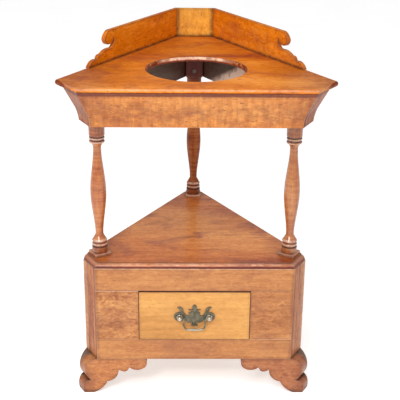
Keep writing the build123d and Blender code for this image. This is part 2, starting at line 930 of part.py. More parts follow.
with BuildPart() as drawer_front:
    extrude(
        rectangle_face(-drawer_half, drawer_half, case_front_y, front_inner_y, drawer_bottom_z),
        amount=drawer_front_height,
    )
    fillet(drawer_front.faces().sort_by(Axis.Y)[0].edges(), drawer_edge_radius)
    for side in (-1, 1):
        lap_face = rectangle_face(
            side * drawer_inner_half, side * drawer_half, lap_y, front_inner_y, drawer_bottom_z
        )
        extrude(lap_face, amount=drawer_side_height, mode=Mode.SUBTRACT)
    extrude(groove_face, amount=groove_top_z - groove_z, mode=Mode.SUBTRACT)
    with BuildSketch(pull_plane) as shank_holes:
        with Locations(*pull_post_places):
            Circle(pull_shank_radius + pull_hole_clearance)
    extrude(shank_holes.sketch, amount=-drawer_front_thickness, mode=Mode.SUBTRACT)
save(drawer_front.part, "drawer_front")

with BuildPart() as drawer_side:
    extrude(
        rectangle_face(drawer_inner_half, drawer_half, lap_y, drawer_back_y, drawer_bottom_z),
        amount=drawer_side_height,
    )
    extrude(groove_face, amount=groove_top_z - groove_z, mode=Mode.SUBTRACT)
save_pair(drawer_side.part, "drawer_side")

with BuildPart() as drawer_back:
    extrude(
        rectangle_face(
            -drawer_inner_half,
            drawer_inner_half,
            drawer_back_y - drawer_back_thickness,
            drawer_back_y,
            groove_top_z - groove_clearance,
        ),
        amount=drawer_bottom_z + drawer_side_height - groove_top_z + groove_clearance,
    )
save(drawer_back.part, "drawer_back")

with BuildPart() as drawer_bottom:
    extrude(
        rectangle_face(
            -drawer_inner_half - groove_depth + groove_clearance,
            drawer_inner_half + groove_depth - groove_clearance,
            front_inner_y - groove_depth + groove_clearance,
            drawer_back_y,
            groove_z,
        ),
        amount=drawer_bottom_thickness,
    )
save(drawer_bottom.part, "drawer_bottom")


# Pull: a bat-wing plate, two round-headed posts held by nuts, and a swinging bail
def plate_point(name):
    """A named point of the right half of the plate's outline."""
    width_share, height_share = plate_shares[name]
    return (width_share * plate_half_width, height_share * plate_top)


with BuildPart() as pull_plate:
    with BuildSketch(pull_plane) as plate_face:
        with BuildLine():
            ThreePointArc(plate_point("leaf_tip"), plate_point("leaf_side"), plate_point("leaf_neck"))
            Polyline(
                plate_point("leaf_neck"), plate_point("upper_barb"), plate_point("hollow_start")
            )
            ThreePointArc(
                plate_point("hollow_start"), plate_point("hollow"), plate_point("hollow_end")
            )
            Line(plate_point("hollow_end"), plate_point("lower_barb"))
            ThreePointArc(
                plate_point("lower_barb"), plate_point("lower_hollow"), plate_point("shoulder")
            )
            Polyline(
                plate_point("shoulder"), plate_point("horn_foot"), plate_point("horn_inner")
            )
            ThreePointArc(
                plate_point("horn_inner"), plate_point("horn_crown"), plate_point("horn_tip")
            )
            ThreePointArc(
                plate_point("horn_tip"), plate_point("horn_outer"), plate_point("horn_back")
            )
            ThreePointArc(
                plate_point("horn_back"), plate_point("lobe_end"), plate_point("lobe_under")
            )
            Line(plate_point("lobe_under"), plate_point("waist"))
            ThreePointArc(plate_point("waist"), plate_point("belly"), plate_point("tail_root"))
            Polyline(
                plate_point("tail_root"),
                plate_point("tail_corner"),
                plate_point("tail_middle"),
                plate_point("leaf_tip"),
            )
        make_face()
        mirror(about=Plane.YZ)
        with Locations(*pull_post_places):
            Circle(pull_shank_radius + pull_hole_clearance, mode=Mode.SUBTRACT)
    extrude(plate_face.sketch, amount=plate_thickness)
save(pull_plate.part, "pull_plate")

pivot_y = case_front_y - plate_thickness - pull_pivot_reach
with BuildPart() as pull_posts:
    for side in (-1, 1):
        post_plane = Plane(
            origin=(side * pull_half, case_front_y, pull_z),
            x_dir=(side, 0, 0),
            z_dir=(0, 0, side),
        )
        collar_start = -plate_thickness
        collar_end = collar_start - pull_collar_length
        pivot_reach = collar_start - pull_pivot_reach
        shank_end = drawer_front_thickness + pull_shank_overhang
        with BuildSketch(post_plane) as pull_post_face:
            with BuildLine():
                Polyline(
                    (0, shank_end),
                    (pull_shank_radius, shank_end),
                    (pull_shank_radius, collar_start),
                    (pull_collar_radius, collar_start),
                )
                ThreePointArc(
                    (pull_collar_radius, collar_start),
                    (
                        (pull_collar_radius + pull_stem_radius) / 2 + pull_shank_radius / 2,
                        (collar_start + collar_end) / 2 - pull_shank_radius / 2,
                    ),
                    (pull_stem_radius, collar_end),
                )
                ball_foot = (pull_stem_radius, pivot_reach + pull_stem_radius)
                Line((pull_stem_radius, collar_end), ball_foot)
                ThreePointArc(
                    ball_foot, (pull_ball_radius, pivot_reach), (0, pivot_reach - pull_ball_radius)
                )
                Line((0, pivot_reach - pull_ball_radius), (0, shank_end))
            make_face()
        revolve(pull_post_face.sketch, axis=Axis(post_plane.origin, (0, 1, 0)))
        pin_plane = Plane(
            origin=(side * (pull_half - 2 * pull_ball_radius), pivot_y, pull_z),
            z_dir=(side, 0, 0),
        )
        with BuildSketch(pin_plane) as pin_hole:
            Circle(bail_radius + bail_pin_clearance)
        extrude(pin_hole.sketch, amount=2 * pull_ball_radius, mode=Mode.SUBTRACT)
save(pull_posts.part, "pull_posts")

with BuildPart() as pull_nuts:
    nut_plane = Plane(origin=(0, front_inner_y, pull_z), x_dir=(1, 0, 0), z_dir=(0, 1, 0))
    with BuildSketch(nut_plane):
        with Locations(*pull_post_places):
            Rectangle(pull_nut_width, pull_nut_width)
            Circle(pull_shank_radius, mode=Mode.SUBTRACT)
    extrude(amount=pull_nut_thickness)
save(pull_nuts.part, "pull_nuts")

bail_plane = Plane(origin=(0, pivot_y, pull_z), x_dir=(1, 0, 0), z_dir=(0, -1, 0))
pin_end = pull_half - 2 * bail_pin_clearance
with BuildPart() as pull_bail:
    with BuildLine(bail_plane) as bail_line:
        FilletPolyline(
            (-pin_end, 0),
            (-bail_half_width, 0),
            (-bail_half_width, -bail_drop),
            (bail_half_width, -bail_drop),
            (bail_half_width, 0),
            (pin_end, 0),
            radius=(
                bail_shoulder_radius,
                bail_corner_radius,
                bail_corner_radius,
                bail_shoulder_radius,
            ),
        )
    bail_path = bail_line.wires()[0]
    start_plane = Plane(origin=bail_path @ 0, z_dir=bail_path % 0)
    with BuildSketch(start_plane) as bail_section:
        Circle(bail_radius)
    sweep(bail_section.sketch, path=bail_path)
    grip_plane = Plane(
        origin=(0, pivot_y, pull_z - bail_drop), x_dir=(1, 0, 0), z_dir=(0, -1, 0)
    )
    with BuildSketch(grip_plane) as grip_face:
        with BuildLine():
            Spline(
                (-bail_grip_half_length, bail_radius),
                (0, bail_grip_radius),
                (bail_grip_half_length, bail_radius),
                tangents=((1, 0), (1, 0)),
            )
            Polyline(
                (bail_grip_half_length, bail_radius),
                (bail_grip_half_length, 0),
                (-bail_grip_half_length, 0),
                (-bail_grip_half_length, bail_radius),
            )
        make_face()
    revolve(grip_face.sketch, axis=Axis(grip_plane.origin, (1, 0, 0)))
save(pull_bail.part, "pull_bail")


# Bracket feet: a flat lobed bracket in front, ogee-shaped on the cant side
def ogee_point(name):
    """A named point of the ogee, outwards from the case and above the floor."""
    reach_share, height_share = ogee_shares[name]
    return (reach_share * foot_reach, height_share * foot_height)


def ogee_face(plane):
    """Everything inside the foot's ogee, on a plane across the cant."""
    with BuildSketch(plane) as face:
        with BuildLine():
            ThreePointArc((0, foot_height), ogee_point("brow"), ogee_point("knee"))
            ThreePointArc(ogee_point("knee"), ogee_point("shin"), ogee_point("ankle"))
            ThreePointArc(ogee_point("ankle"), ogee_point("toe_top"), ogee_point("toe"))
            ThreePointArc(ogee_point("toe"), ogee_point("toe_side"), ogee_point("sole"))
            Polyline(
                ogee_point("sole"),
                (-foot_bracket_length - overcut, 0),
                (-foot_bracket_length - overcut, foot_height),
                (0, foot_height),
            )
        make_face()
    return face.sketch


def bracket_point(name):
    """A named point of the bracket's cut edge, in X and height."""
    along_share, height_share = bracket_shares[name]
    return (case_front_half - along_share * foot_bracket_length, height_share * foot_height)


bracket_back_y = case_front_y + foot_bracket_thickness
cant_along = (case_outline[2] - case_outline[1]).normalized()
ogee_plane = Plane(origin=case_outline[1], x_dir=cant_normal, z_dir=-cant_along)
with BuildPart() as foot_bracket:
    bracket_plane = Plane(origin=(0, case_front_y, 0), x_dir=(1, 0, 0), z_dir=(0, -1, 0))
    with BuildSketch(bracket_plane) as bracket_face:
        with BuildLine():
            ThreePointArc(bracket_point("apron_end"), bracket_point("tip"), bracket_point("tip_under"))
            ThreePointArc(
                bracket_point("tip_under"), bracket_point("lobe"), bracket_point("first_notch")
            )
            Line(bracket_point("first_notch"), bracket_point("tooth_side"))
            Line(bracket_point("tooth_side"), bracket_point("tooth"))
            ThreePointArc(
                bracket_point("tooth"), bracket_point("tooth_back"), bracket_point("second_notch")
            )
            ThreePointArc(
                bracket_point("second_notch"), bracket_point("shoulder"), bracket_point("cusp")
            )
            ThreePointArc(bracket_point("cusp"), bracket_point("instep"), bracket_point("sole"))
            Polyline(
                bracket_point("sole"),
                (case_front_half + overcut, 0),
                (case_front_half + overcut, foot_height),
                bracket_point("apron_end"),
            )
        make_face()
    extrude(bracket_face.sketch, amount=-foot_bracket_thickness)
    extrude(ogee_face(ogee_plane), amount=2 * overcut, both=True, mode=Mode.INTERSECT)
    bracket_plan = [
        Vector(0, case_front_y),
        Vector(wall_half_width(case_front_y, case_wall_inset), case_front_y),
        Vector(wall_half_width(bracket_back_y, case_wall_inset), bracket_back_y),
        Vector(0, bracket_back_y),
    ]
    extrude(plan_face(bracket_plan, 0), amount=foot_height, mode=Mode.INTERSECT)
save_pair(foot_bracket.part, "foot_bracket")

return_inner = inset_outline(
    case_outline, front=foot_bracket_thickness, cants=foot_return_thickness
)
with BuildPart() as foot_return:
    return_plan = [
        Vector(wall_half_width(bracket_back_y, case_wall_inset), bracket_back_y),
        return_inner[2],
        return_inner[1],
    ]
    extrude(plan_face(return_plan, 0), amount=foot_height)
    extrude(ogee_face(ogee_plane), amount=2 * overcut, both=True, mode=Mode.INTERSECT)
save_pair(foot_return.part, "foot_return")

with BuildPart() as foot_block:
    block_corner = return_inner[1]
    block_plan = [
        block_corner,
        return_inner[2],
        block_corner - Vector(foot_block_width, 0),
    ]
    extrude(plan_face(block_plan, foot_block_gap), amount=foot_height - foot_block_gap)
save_pair(foot_block.part, "foot_block")

with BuildPart() as rear_foot:
    rear_foot_y = back_y - rear_foot_depth
    rear_foot_half = wall_half_width(rear_foot_y, case_wall_inset)
    rear_plan = [
        case_outline[3],
        case_outline[4],
        Vector(-rear_foot_half, rear_foot_y),
        Vector(rear_foot_half, rear_foot_y),
    ]
    extrude(plan_face(rear_plan, 0), amount=foot_height)
    chamfer(edges_at(rear_foot.part, 0), rear_foot_chamfer)
save(rear_foot.part, "rear_foot")
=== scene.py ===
"""Corner washstand: old wood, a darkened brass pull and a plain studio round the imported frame.

The frame gives every board, post and foot. This script gives each of them its own wood,
swaps the pull's plate for one with bevelled edges, and sets the lights and the camera.
"""

from math import cos, pi, radians, sin
from typing import NamedTuple

import bpy
from mathutils import Euler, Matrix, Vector


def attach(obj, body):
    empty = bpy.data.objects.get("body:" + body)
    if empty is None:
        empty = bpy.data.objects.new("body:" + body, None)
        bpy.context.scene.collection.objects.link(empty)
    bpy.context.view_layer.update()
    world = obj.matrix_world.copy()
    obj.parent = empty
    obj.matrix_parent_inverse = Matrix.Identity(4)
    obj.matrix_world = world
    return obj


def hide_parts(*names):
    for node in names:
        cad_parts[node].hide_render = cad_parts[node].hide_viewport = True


bl_info = {
    "name": "Corner washstand",
    "version": (1, 0, 0),
    "blender": (4, 5, 0),
    "location": "View3D > Sidebar > Washstand",
    "description": "Finishes a corner washstand of old wood and sets a studio round it",
    "category": "Object",
}

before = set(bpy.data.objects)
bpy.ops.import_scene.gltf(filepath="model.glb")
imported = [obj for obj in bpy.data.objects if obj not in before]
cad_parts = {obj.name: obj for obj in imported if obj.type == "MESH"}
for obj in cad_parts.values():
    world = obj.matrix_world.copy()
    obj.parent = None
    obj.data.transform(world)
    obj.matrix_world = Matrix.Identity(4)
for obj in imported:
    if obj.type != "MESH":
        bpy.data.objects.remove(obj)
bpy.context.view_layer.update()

# How far the wall boards turn from the sideways direction, and the cants' outward direction
# from sideways to the front
WALL_TURN = radians(60)
CANT_TURN = radians(27.5)

# Turns that bring the grain of a board onto the pattern's X axis
GRAIN_ACROSS = (0.0, 0.0, 0.0)
GRAIN_UPRIGHT = (0.0, radians(90), 0.0)
GRAIN_DEEP = (0.0, 0.0, radians(90))
GRAIN_RIGHT_WALL = (0.0, 0.0, WALL_TURN)
GRAIN_LEFT_WALL = (0.0, 0.0, -WALL_TURN)

# Directions in which zones of painted shade, painted highlight, darkening and wear grow
UPWARD = (0.0, 0.0, 1.0)
SIDEWAYS = (1.0, 0.0, 0.0)
BACKWARD = (0.0, 1.0, 0.0)
CANTWARD = (cos(CANT_TURN), -sin(CANT_TURN), 0.0)
WALLWARD = (sin(WALL_TURN), cos(WALL_TURN), 0.0)
OUTWARD_AND_DOWN = (0.94, 0.0, -1.0)

# Sockets of a Mix node that mixes colours
MIX_FACTOR = 0
MIX_FIRST_COLOUR = 6
MIX_SECOND_COLOUR = 7
MIX_COLOUR_RESULT = 2

# Kinds of sockets that node groups have
NUMBER = "NodeSocketFloat"
VECTOR = "NodeSocketVector"
COLOUR = "NodeSocketColor"

# Changes of hue, saturation and value; 0.5, 1 and 1 change nothing
DARK_GRAIN = (0.484, 1.06, 0.50)
LIGHT_GRAIN = (0.514, 0.95, 1.36)
STAINED = (0.468, 0.92, 0.42)
FLECKED = (0.478, 1.00, 0.20)
# This tint darkens the grain for soil, and for painted shade under overhangs, in grooves and in
# recesses
SOILED = (0.480, 1.05, 0.32)
# This tint pales the wood for wear on edges, and for painted highlights on rounded edges and beads
RUBBED = (0.505, 0.85, 1.35)
TARNISHED = (0.500, 1.10, 0.62)
SHADED_PAPER = (0.500, 1.00, 0.985)

# Wood: how much the fibres change the tone, how far the soil colour covers the darkened grain
# for soil and painted shade, and the colour that worn wood and painted highlights fade to
FIBRE_STRENGTH = 0.14
SOIL_SHARE = 0.45
PALE_WOOD = (0.86, 0.62, 0.48, 1.0)

# Shift of the wood's pattern from one seed to the next, so that no two boards are alike
SEED_STEP = Vector((0.37, 0.53, 0.71))

# Roughness of dark and of light grain, what dirt in the joints adds, and that of the polish
DARK_ROUGHNESS = 0.46
LIGHT_ROUGHNESS = 0.34
JOINT_ROUGHNESS = 0.25
POLISH_ROUGHNESS = 0.16

# Strength and depth in metres of the bumps on wood and on metal
WOOD_BUMP = (0.22, 0.0006)
METAL_BUMP = (0.25, 0.0003)

# Metal: skin and rubbed colour of steel, dirt in the corners, and how strongly edges are
# rubbed, zones are rubbed and corners are dirty
STEEL = (0.10, 0.085, 0.07, 1.0)
RUBBED_STEEL = (0.42, 0.38, 0.33, 1.0)
METAL_DIRT = (0.03, 0.025, 0.02, 1.0)
METAL_EDGE_RUB = 0.75
METAL_ZONE_RUB = 0.9
METAL_CORNER_DIRT = 0.7
METALLIC = 0.9

# Where a mask starts and where it is full: likeness of an edge's rounded normal to that of the
# face, openness of the air in a joint, and depth of the wood behind a border
EDGE_LIKENESS = (0.999, 0.93)
JOINT_OPENNESS = (0.95, 0.45)
BORDER_DEPTH = (0.96, 0.45)

# Share of a band over which each of its borders fades
BAND_SOFT_SHARE = 0.25

# Bevels on a copied mesh: which points merge, which faces join, and where shading stays sharp
MERGE_DISTANCE = 0.00001
FLAT_ANGLE = radians(1)
BEVEL_SEGMENTS = 3
SHARP_ANGLE = radians(40)

# Studio: floor, backdrop, and each light's name, place, point it faces, edge length and setting
FLOOR_SIZE = 16.0
FLOOR_ROUGHNESS = 0.9
BACKDROP_STRENGTH = 1.0
SENSOR_WIDTH = 36.0
STUDIO_LIGHTS = (
    ("key_light", (-0.4, -2.1, 2.6), (0.0, 0.0, 0.5), 1.4, "key_power"),
    ("spot_light", (-0.9, -2.4, 2.0), (0.0, 0.0, 0.5), 0.25, "spot_power"),
    ("left_light", (-2.2, -0.9, 1.3), (0.0, 0.0, 0.45), 1.2, "side_power"),
    ("right_light", (2.2, -0.9, 1.3), (0.0, 0.0, 0.45), 1.2, "side_power"),
)


class Zone(NamedTuple):
    """Where a mark starts and ends along a direction, in metres, and how strong it is; the marks
    are painted shade, painted highlights, painted light, darkening and wear.

    An amount above one makes its noisy border firmer.
    """

    direction: tuple
    start: float
    end: float
    amount: float = 1.0


# The basin hole: painted shade all round its rim and wall, and a painted highlight along the upper
# edge of its back
HOLE_CENTRE = (0.0, -0.107, 0.811)
HOLE_RADIUS = 0.114
RIM_DARK_WIDTH = 0.0042
RIM_DARKNESS = 1.3
RIM_PALE_WIDTH = 0.0026
RIM_PALENESS = 1.5
RIM_BACK = Zone(BACKWARD, -0.040, -0.008)
RIM_UPPER_EDGE = Zone(UPWARD, 0.8020, 0.8060)

# Zones of the top board and the gallery: painted shade under the front edge and beside the walls,
# darker ends, back, cant edges and corner panel sides, and a painted highlight with rubbed wear
# along the front edge
# Painted shade on the lower part of the top's front edge
TOP_UNDERSIDE = Zone(UPWARD, 0.8040, 0.8015, 1.6)
TOP_ENDS = Zone(SIDEWAYS, 0.14, 0.31, 0.55)
# Painted shade on the top beside the gallery's walls
TOP_BESIDE_WALLS = Zone(WALLWARD, 0.090, 0.132, 0.22)
TOP_BACK = Zone(BACKWARD, 0.08, 0.24, 0.20)
TOP_CANT_EDGES = Zone(CANTWARD, 0.3680, 0.3700, 1.3)
# Painted highlight along the top's front edge, with rubbed wear
TOP_FRONT_EDGE = Zone(UPWARD, 0.8055, 0.8110, 0.50)
PANEL_SIDES = Zone(SIDEWAYS, 0.034, 0.043, 0.8)

# Zones of the frieze: painted shadow of the top on the frieze and its cants, painted shade on the
# wall boards deep in the basin hole, darker frieze ends, and a painted pool of light on a wall
# board's inner face
# Painted shadow of the top's overhang on the frieze
FRIEZE_UNDER_TOP = Zone(UPWARD, 0.7910, 0.7945, 1.9)
# Painted shade on the frieze's upper part under the top
FRIEZE_UPPER_PART = Zone(UPWARD, 0.76, 0.80, 0.2)
FRIEZE_ENDS = Zone(SIDEWAYS, 0.18, 0.25, 0.45)
# Painted shadow of the top on the frieze's cants
CANT_UNDER_TOP = Zone(UPWARD, 0.7870, 0.7935, 1.4)
# Painted shade on the wall boards towards the middle, deep in the basin hole
WALL_BOARD_BACK = Zone(SIDEWAYS, 0.085, 0.025, 1.0)
# Painted pool of light on the right wall board's inner face, towards its lower outer part
BARE_CORNER = Zone(OUTWARD_AND_DOWN, -0.664, -0.648, 1.8)
WALL_BOARD_INNER_FACE = Zone(WALLWARD, 0.1500, 0.1460)

# Posts: painted shadow of the frieze on their heads, painted shade on the rear post's head inside
# the basin hole, darkening towards their feet, and on the turned rings painted highlights on the
# beads with painted shade in the grooves between them
POST_FOOT_DIRT = Zone(UPWARD, 0.385, 0.362, 0.5)
# Painted shadow of the frieze on the posts' heads
POST_HEAD_DIRT = Zone(UPWARD, 0.668, 0.698, 1.0)
# Painted shade on the rear post's head inside the basin hole
REAR_HEAD_DIRT = Zone(UPWARD, 0.690, 0.715, 1.4)
# Painted highlights on the turned beads
RUBBED_BEADS = tuple(
    Zone(UPWARD, low, high, 0.75)
    for low, high in (
        (0.3790, 0.3856),
        (0.3900, 0.3970),
        (0.6396, 0.6450),
        (0.6486, 0.6540),
    )
)
# Painted shade in the grooves between the beads
DIRTY_GROOVES = tuple(
    Zone(UPWARD, low, high, 1.5)
    for low, high in (
        (0.3748, 0.3788),
        (0.3856, 0.3896),
        (0.6448, 0.6490),
        (0.6536, 0.6578),
    )
)

# Zones of the shelf, the case, the drawer, the feet and the bail: painted shadow under the shelf's
# edge, painted shade at its ends and in the gaps round the drawer, painted highlights on the
# shelf's and the rail's rounded edges, pale seams, darker outer sides of the feet, and rubbed wear
# on the bail's grip
# Painted shadow under the shelf's front edge
SHELF_LOWER_EDGE = Zone(UPWARD, 0.3490, 0.3470, 1.9)
# Painted shade on the shelf towards its ends, near the posts
SHELF_ENDS = Zone(SIDEWAYS, 0.16, 0.26, 0.6)
# Painted highlight along the shelf's rounded upper edge
SHELF_UPPER_EDGE = Zone(UPWARD, 0.3494, 0.3536, 0.75)
# Painted highlight along the top edge of the case's rail, under the shelf
UNDER_SHELF = Zone(UPWARD, 0.3415, 0.3440, 0.7)
UPPER_SEAM = Zone(UPWARD, 0.2828, 0.2850, 1.0)
LOWER_SEAM = Zone(UPWARD, 0.1512, 0.1530, 0.9)
# Painted shade in the gap above the drawer
ABOVE_DRAWER = Zone(UPWARD, 0.2858, 0.2847, 1.6)
# Painted shade in the gap along the drawer's top edge
DRAWER_TOP_EDGE = Zone(UPWARD, 0.2806, 0.2814, 1.5)
FOOT_OUTER_SIDES = Zone(SIDEWAYS, 0.240, 0.290, 0.4)
BAIL_GRIP = Zone(UPWARD, 0.1900, 0.1840)


# Settings a user would change
def colour_setting(name, default, description):
    """A colour setting with an alpha of one."""
    return bpy.props.FloatVectorProperty(
        name=name,
        description=description,
        subtype="COLOR",
        size=4,
        min=0.0,
        max=1.0,
        default=(*default, 1.0),
    )


class WashstandWoodSettings(bpy.types.PropertyGroup):
    """Colours of the woods, and of the dirt and painted shade on them."""

    top: colour_setting("Top", (0.78, 0.215, 0.014), "Middle colour of the top board")
    gallery: colour_setting("Gallery", (0.76, 0.205, 0.003), "Middle colour of the gallery")
    panel: colour_setting("Corner panel", (0.88, 0.41, 0.052), "Colour of the corner panel")
    frieze: colour_setting("Frieze", (0.73, 0.255, 0.050), "Middle colour of the frieze")
    cant: colour_setting("Cants", (0.43, 0.152, 0.062), "Middle colour of the cut corners")
    frieze_cant: colour_setting(
        "Frieze cants", (0.36, 0.125, 0.058), "Middle colour of the frieze's cut corners"
    )
    post: colour_setting("Posts", (0.44, 0.125, 0.028), "Middle colour of the posts")
    right_post: colour_setting(
        "Right post", (0.375, 0.106, 0.025), "Middle colour of the darker right post"
    )
    rear_post: colour_setting(
        "Rear post", (0.335, 0.088, 0.018), "Middle colour of the rear post"
    )
    plinth: colour_setting("Plinths", (0.66, 0.32, 0.19), "Middle colour of the posts' plinths")
    shelf: colour_setting("Shelf", (0.67, 0.190, 0.032), "Middle colour of the shelf")
    case: colour_setting("Case", (0.515, 0.205, 0.066), "Middle colour of the case")
    foot_return: colour_setting(
        "Foot returns", (0.17, 0.10, 0.066), "Middle colour of the feet's side pieces"
    )
    foot: colour_setting("Left foot", (0.53, 0.195, 0.062), "Middle colour of the left foot")
    right_foot: colour_setting(
        "Right foot", (0.43, 0.150, 0.058), "Middle colour of the darker right foot"
    )
    drawer: colour_setting("Drawer", (0.655, 0.305, 0.078), "Middle colour of the drawer's front")
    inner: colour_setting("Inner wood", (0.36, 0.22, 0.12), "Colour of the unpolished wood")
    hidden: colour_setting("Wall boards", (0.125, 0.082, 0.054), "Colour of the grey wall boards")
    # Grime and shade: dirt in the joints, and painted shade where neighbouring parts close in
    grime: colour_setting("Grime", (0.085, 0.030, 0.014), "Colour of the dirt in the joints")
    # Also the colour of painted shade under overhangs, in grooves, in gaps and in recesses
    soil: colour_setting("Soil", (0.12, 0.026, 0.020), "Colour of old polish turned dark")


class WashstandPullSettings(bpy.types.PropertyGroup):
    """Colours and bevel of the drawer pull."""

    brass: colour_setting("Brass", (0.175, 0.155, 0.102), "Colour of the darkened brass")
    rubbed: colour_setting("Rubbed metal", (0.66, 0.62, 0.52), "Colour where it is rubbed")
    bevel: bpy.props.FloatProperty(
        name="Bevel",
        description="Width of the bevel round the plate",
        unit="LENGTH",
        default=0.0005,
    )


class WashstandStageSettings(bpy.types.PropertyGroup):
    """Camera, lights and floor of the studio."""

    camera_place: bpy.props.FloatVectorProperty(
        name="Camera place",
        description="Where the camera stands",
        subtype="TRANSLATION",
        unit="LENGTH",
        default=(-0.0346, -2.3233, 1.3740),
    )
    camera_pitch: bpy.props.FloatProperty(
        name="Camera pitch",
        description="How far the camera looks down",
        unit="ROTATION",
        default=0.381,
    )
    camera_yaw: bpy.props.FloatProperty(
        name="Camera yaw",
        description="How far the camera turns to the left",
        unit="ROTATION",
        default=-0.021,
    )
    camera_roll: bpy.props.FloatProperty(
        name="Camera roll",
        description="How far the camera leans",
        unit="ROTATION",
        default=0.012,
    )
    lens: bpy.props.FloatProperty(
        name="Lens",
        description="Focal length in millimetres on a sensor 36 mm wide",
        unit="CAMERA",
        default=88.914,
    )
    key_power: bpy.props.FloatProperty(
        name="Key light",
        description="Power of the large front light, in watts",
        unit="POWER",
        default=43.0,
    )
    spot_power: bpy.props.FloatProperty(
        name="Small light",
        description="Power of the small front light, in watts",
        unit="POWER",
        default=14.0,
    )
    side_power: bpy.props.FloatProperty(
        name="Side lights",
        description="Power of each side light, in watts",
        unit="POWER",
        default=4.0,
    )
    room_strength: bpy.props.FloatProperty(
        name="Room", description="Brightness of the white room", default=0.5
    )
    floor_glow: bpy.props.FloatProperty(
        name="Floor glow", description="Light that the floor gives out", default=0.54
    )
    floor: colour_setting("Floor", (0.93, 0.93, 0.93), "Colour of the floor")


# Node trees
class Tree:
    """Adds nodes to a tree with short calls."""

    def __init__(self, tree):
        self.tree = tree

    def add(self, kind, inputs=None, **values):
        """A node with its own values set, and its sockets set or linked."""
        node = self.tree.nodes.new(kind)
        for key, value in values.items():
            setattr(node, key, value)
        for key, value in (inputs or {}).items():
            if isinstance(value, bpy.types.NodeSocket):
                self.tree.links.new(value, node.inputs[key])
            else:
                node.inputs[key].default_value = value
        return node

    def link(self, socket, node, name):
        """Link a socket to a node's named input."""
        self.tree.links.new(socket, node.inputs[name])

    def group(self, group, inputs):
        """The outputs of a node group put into the tree."""
        return self.add("ShaderNodeGroup", inputs, node_tree=group).outputs

    def math(self, operation, first, second=0.0):
        """The result of one sum on two values."""
        node = self.add("ShaderNodeMath", {0: first, 1: second}, operation=operation)
        return node.outputs[0]

    def vector_math(self, operation, first, second=(0.0, 0.0, 0.0)):
        """The results of one sum on two vectors, a vector and a value."""
        node = self.add("ShaderNodeVectorMath", {0: first, 1: second}, operation=operation)
        return node.outputs

    def noise(self, place, scale, detail=4.0, roughness=0.5, distortion=0.0):
        """A noise value between zero and one."""
        sockets = {
            "Vector": place,
            "Scale": scale,
            "Detail": detail,
            "Roughness": roughness,
            "Distortion": distortion,
        }
        return self.add("ShaderNodeTexNoise", sockets).outputs["Fac"]

    def grain_noise(self, place, along, across, **looks):
        """A noise with one scale along the grain and another across it."""
        scale = (along, across, across)
        stretched = self.add("ShaderNodeMapping", {"Vector": place, "Scale": scale}).outputs[0]
        return self.noise(stretched, 1.0, **looks)

    def spread(self, value, low, high, out_low=0.0, out_high=1.0):
        """A value moved from one range to another and kept inside it."""
        sockets = {
            "Value": value,
            "From Min": low,
            "From Max": high,
            "To Min": out_low,
            "To Max": out_high,
        }
        return self.add("ShaderNodeMapRange", sockets).outputs["Result"]

    def swing(self, noise, low, high, strength):
        """A noise spread evenly to both sides of zero, as far as its strength."""
        return self.math("MULTIPLY", self.spread(noise, low, high, -1.0, 1.0), strength)

    def broken(self, mask, noise, low, high, least):
        """A mask broken up by a noise, which leaves at least the given share of it."""
        return self.math("MULTIPLY", mask, self.spread(noise, low, high, least, 1.0))

    def mix(self, factor, first, second):
        """Two colours mixed by a factor."""
        sockets = {MIX_FACTOR: factor, MIX_FIRST_COLOUR: first, MIX_SECOND_COLOUR: second}
        return self.add("ShaderNodeMix", sockets, data_type="RGBA").outputs[MIX_COLOUR_RESULT]

    def cover(self, colour, other, mask, amount):
        """A colour with another one over it where the mask is, as far as the amount says."""
        return self.mix(self.math("MULTIPLY", mask, amount), colour, other)

    def tint(self, colour, hue, saturation, value):
        """A colour with its hue, saturation and value changed."""
        sockets = {"Color": colour, "Hue": hue, "Saturation": saturation, "Value": value}
        return self.add("ShaderNodeHueSaturation", sockets).outputs["Color"]

    def bump(self, strength_and_depth, height, normal):
        """A normal with small bumps of a height."""
        strength, depth = strength_and_depth
        sockets = {"Strength": strength, "Distance": depth, "Height": height, "Normal": normal}
        return self.add("ShaderNodeBump", sockets).outputs[0]


def new_group(name, inputs, outputs):
    """A shader node group with its named sockets, and the ends of its tree."""
    group = bpy.data.node_groups.new(name, "ShaderNodeTree")
    for socket_name, socket_type, default in inputs:
        socket = group.interface.new_socket(
            name=socket_name, in_out="INPUT", socket_type=socket_type
        )
        if default is not None:
            socket.default_value = default
    for socket_name, socket_type in outputs:
        group.interface.new_socket(name=socket_name, in_out="OUTPUT", socket_type=socket_type)
    tree = Tree(group)
    entry = tree.add("NodeGroupInput").outputs
    finish = tree.add("NodeGroupOutput")
    return group, tree, entry, finish


def close_group(group, tree, finish, results):
    """Link the results of a group to its output sockets, and hand the group back."""
    for name, socket in results.items():
        tree.link(socket, finish, name)
    return group


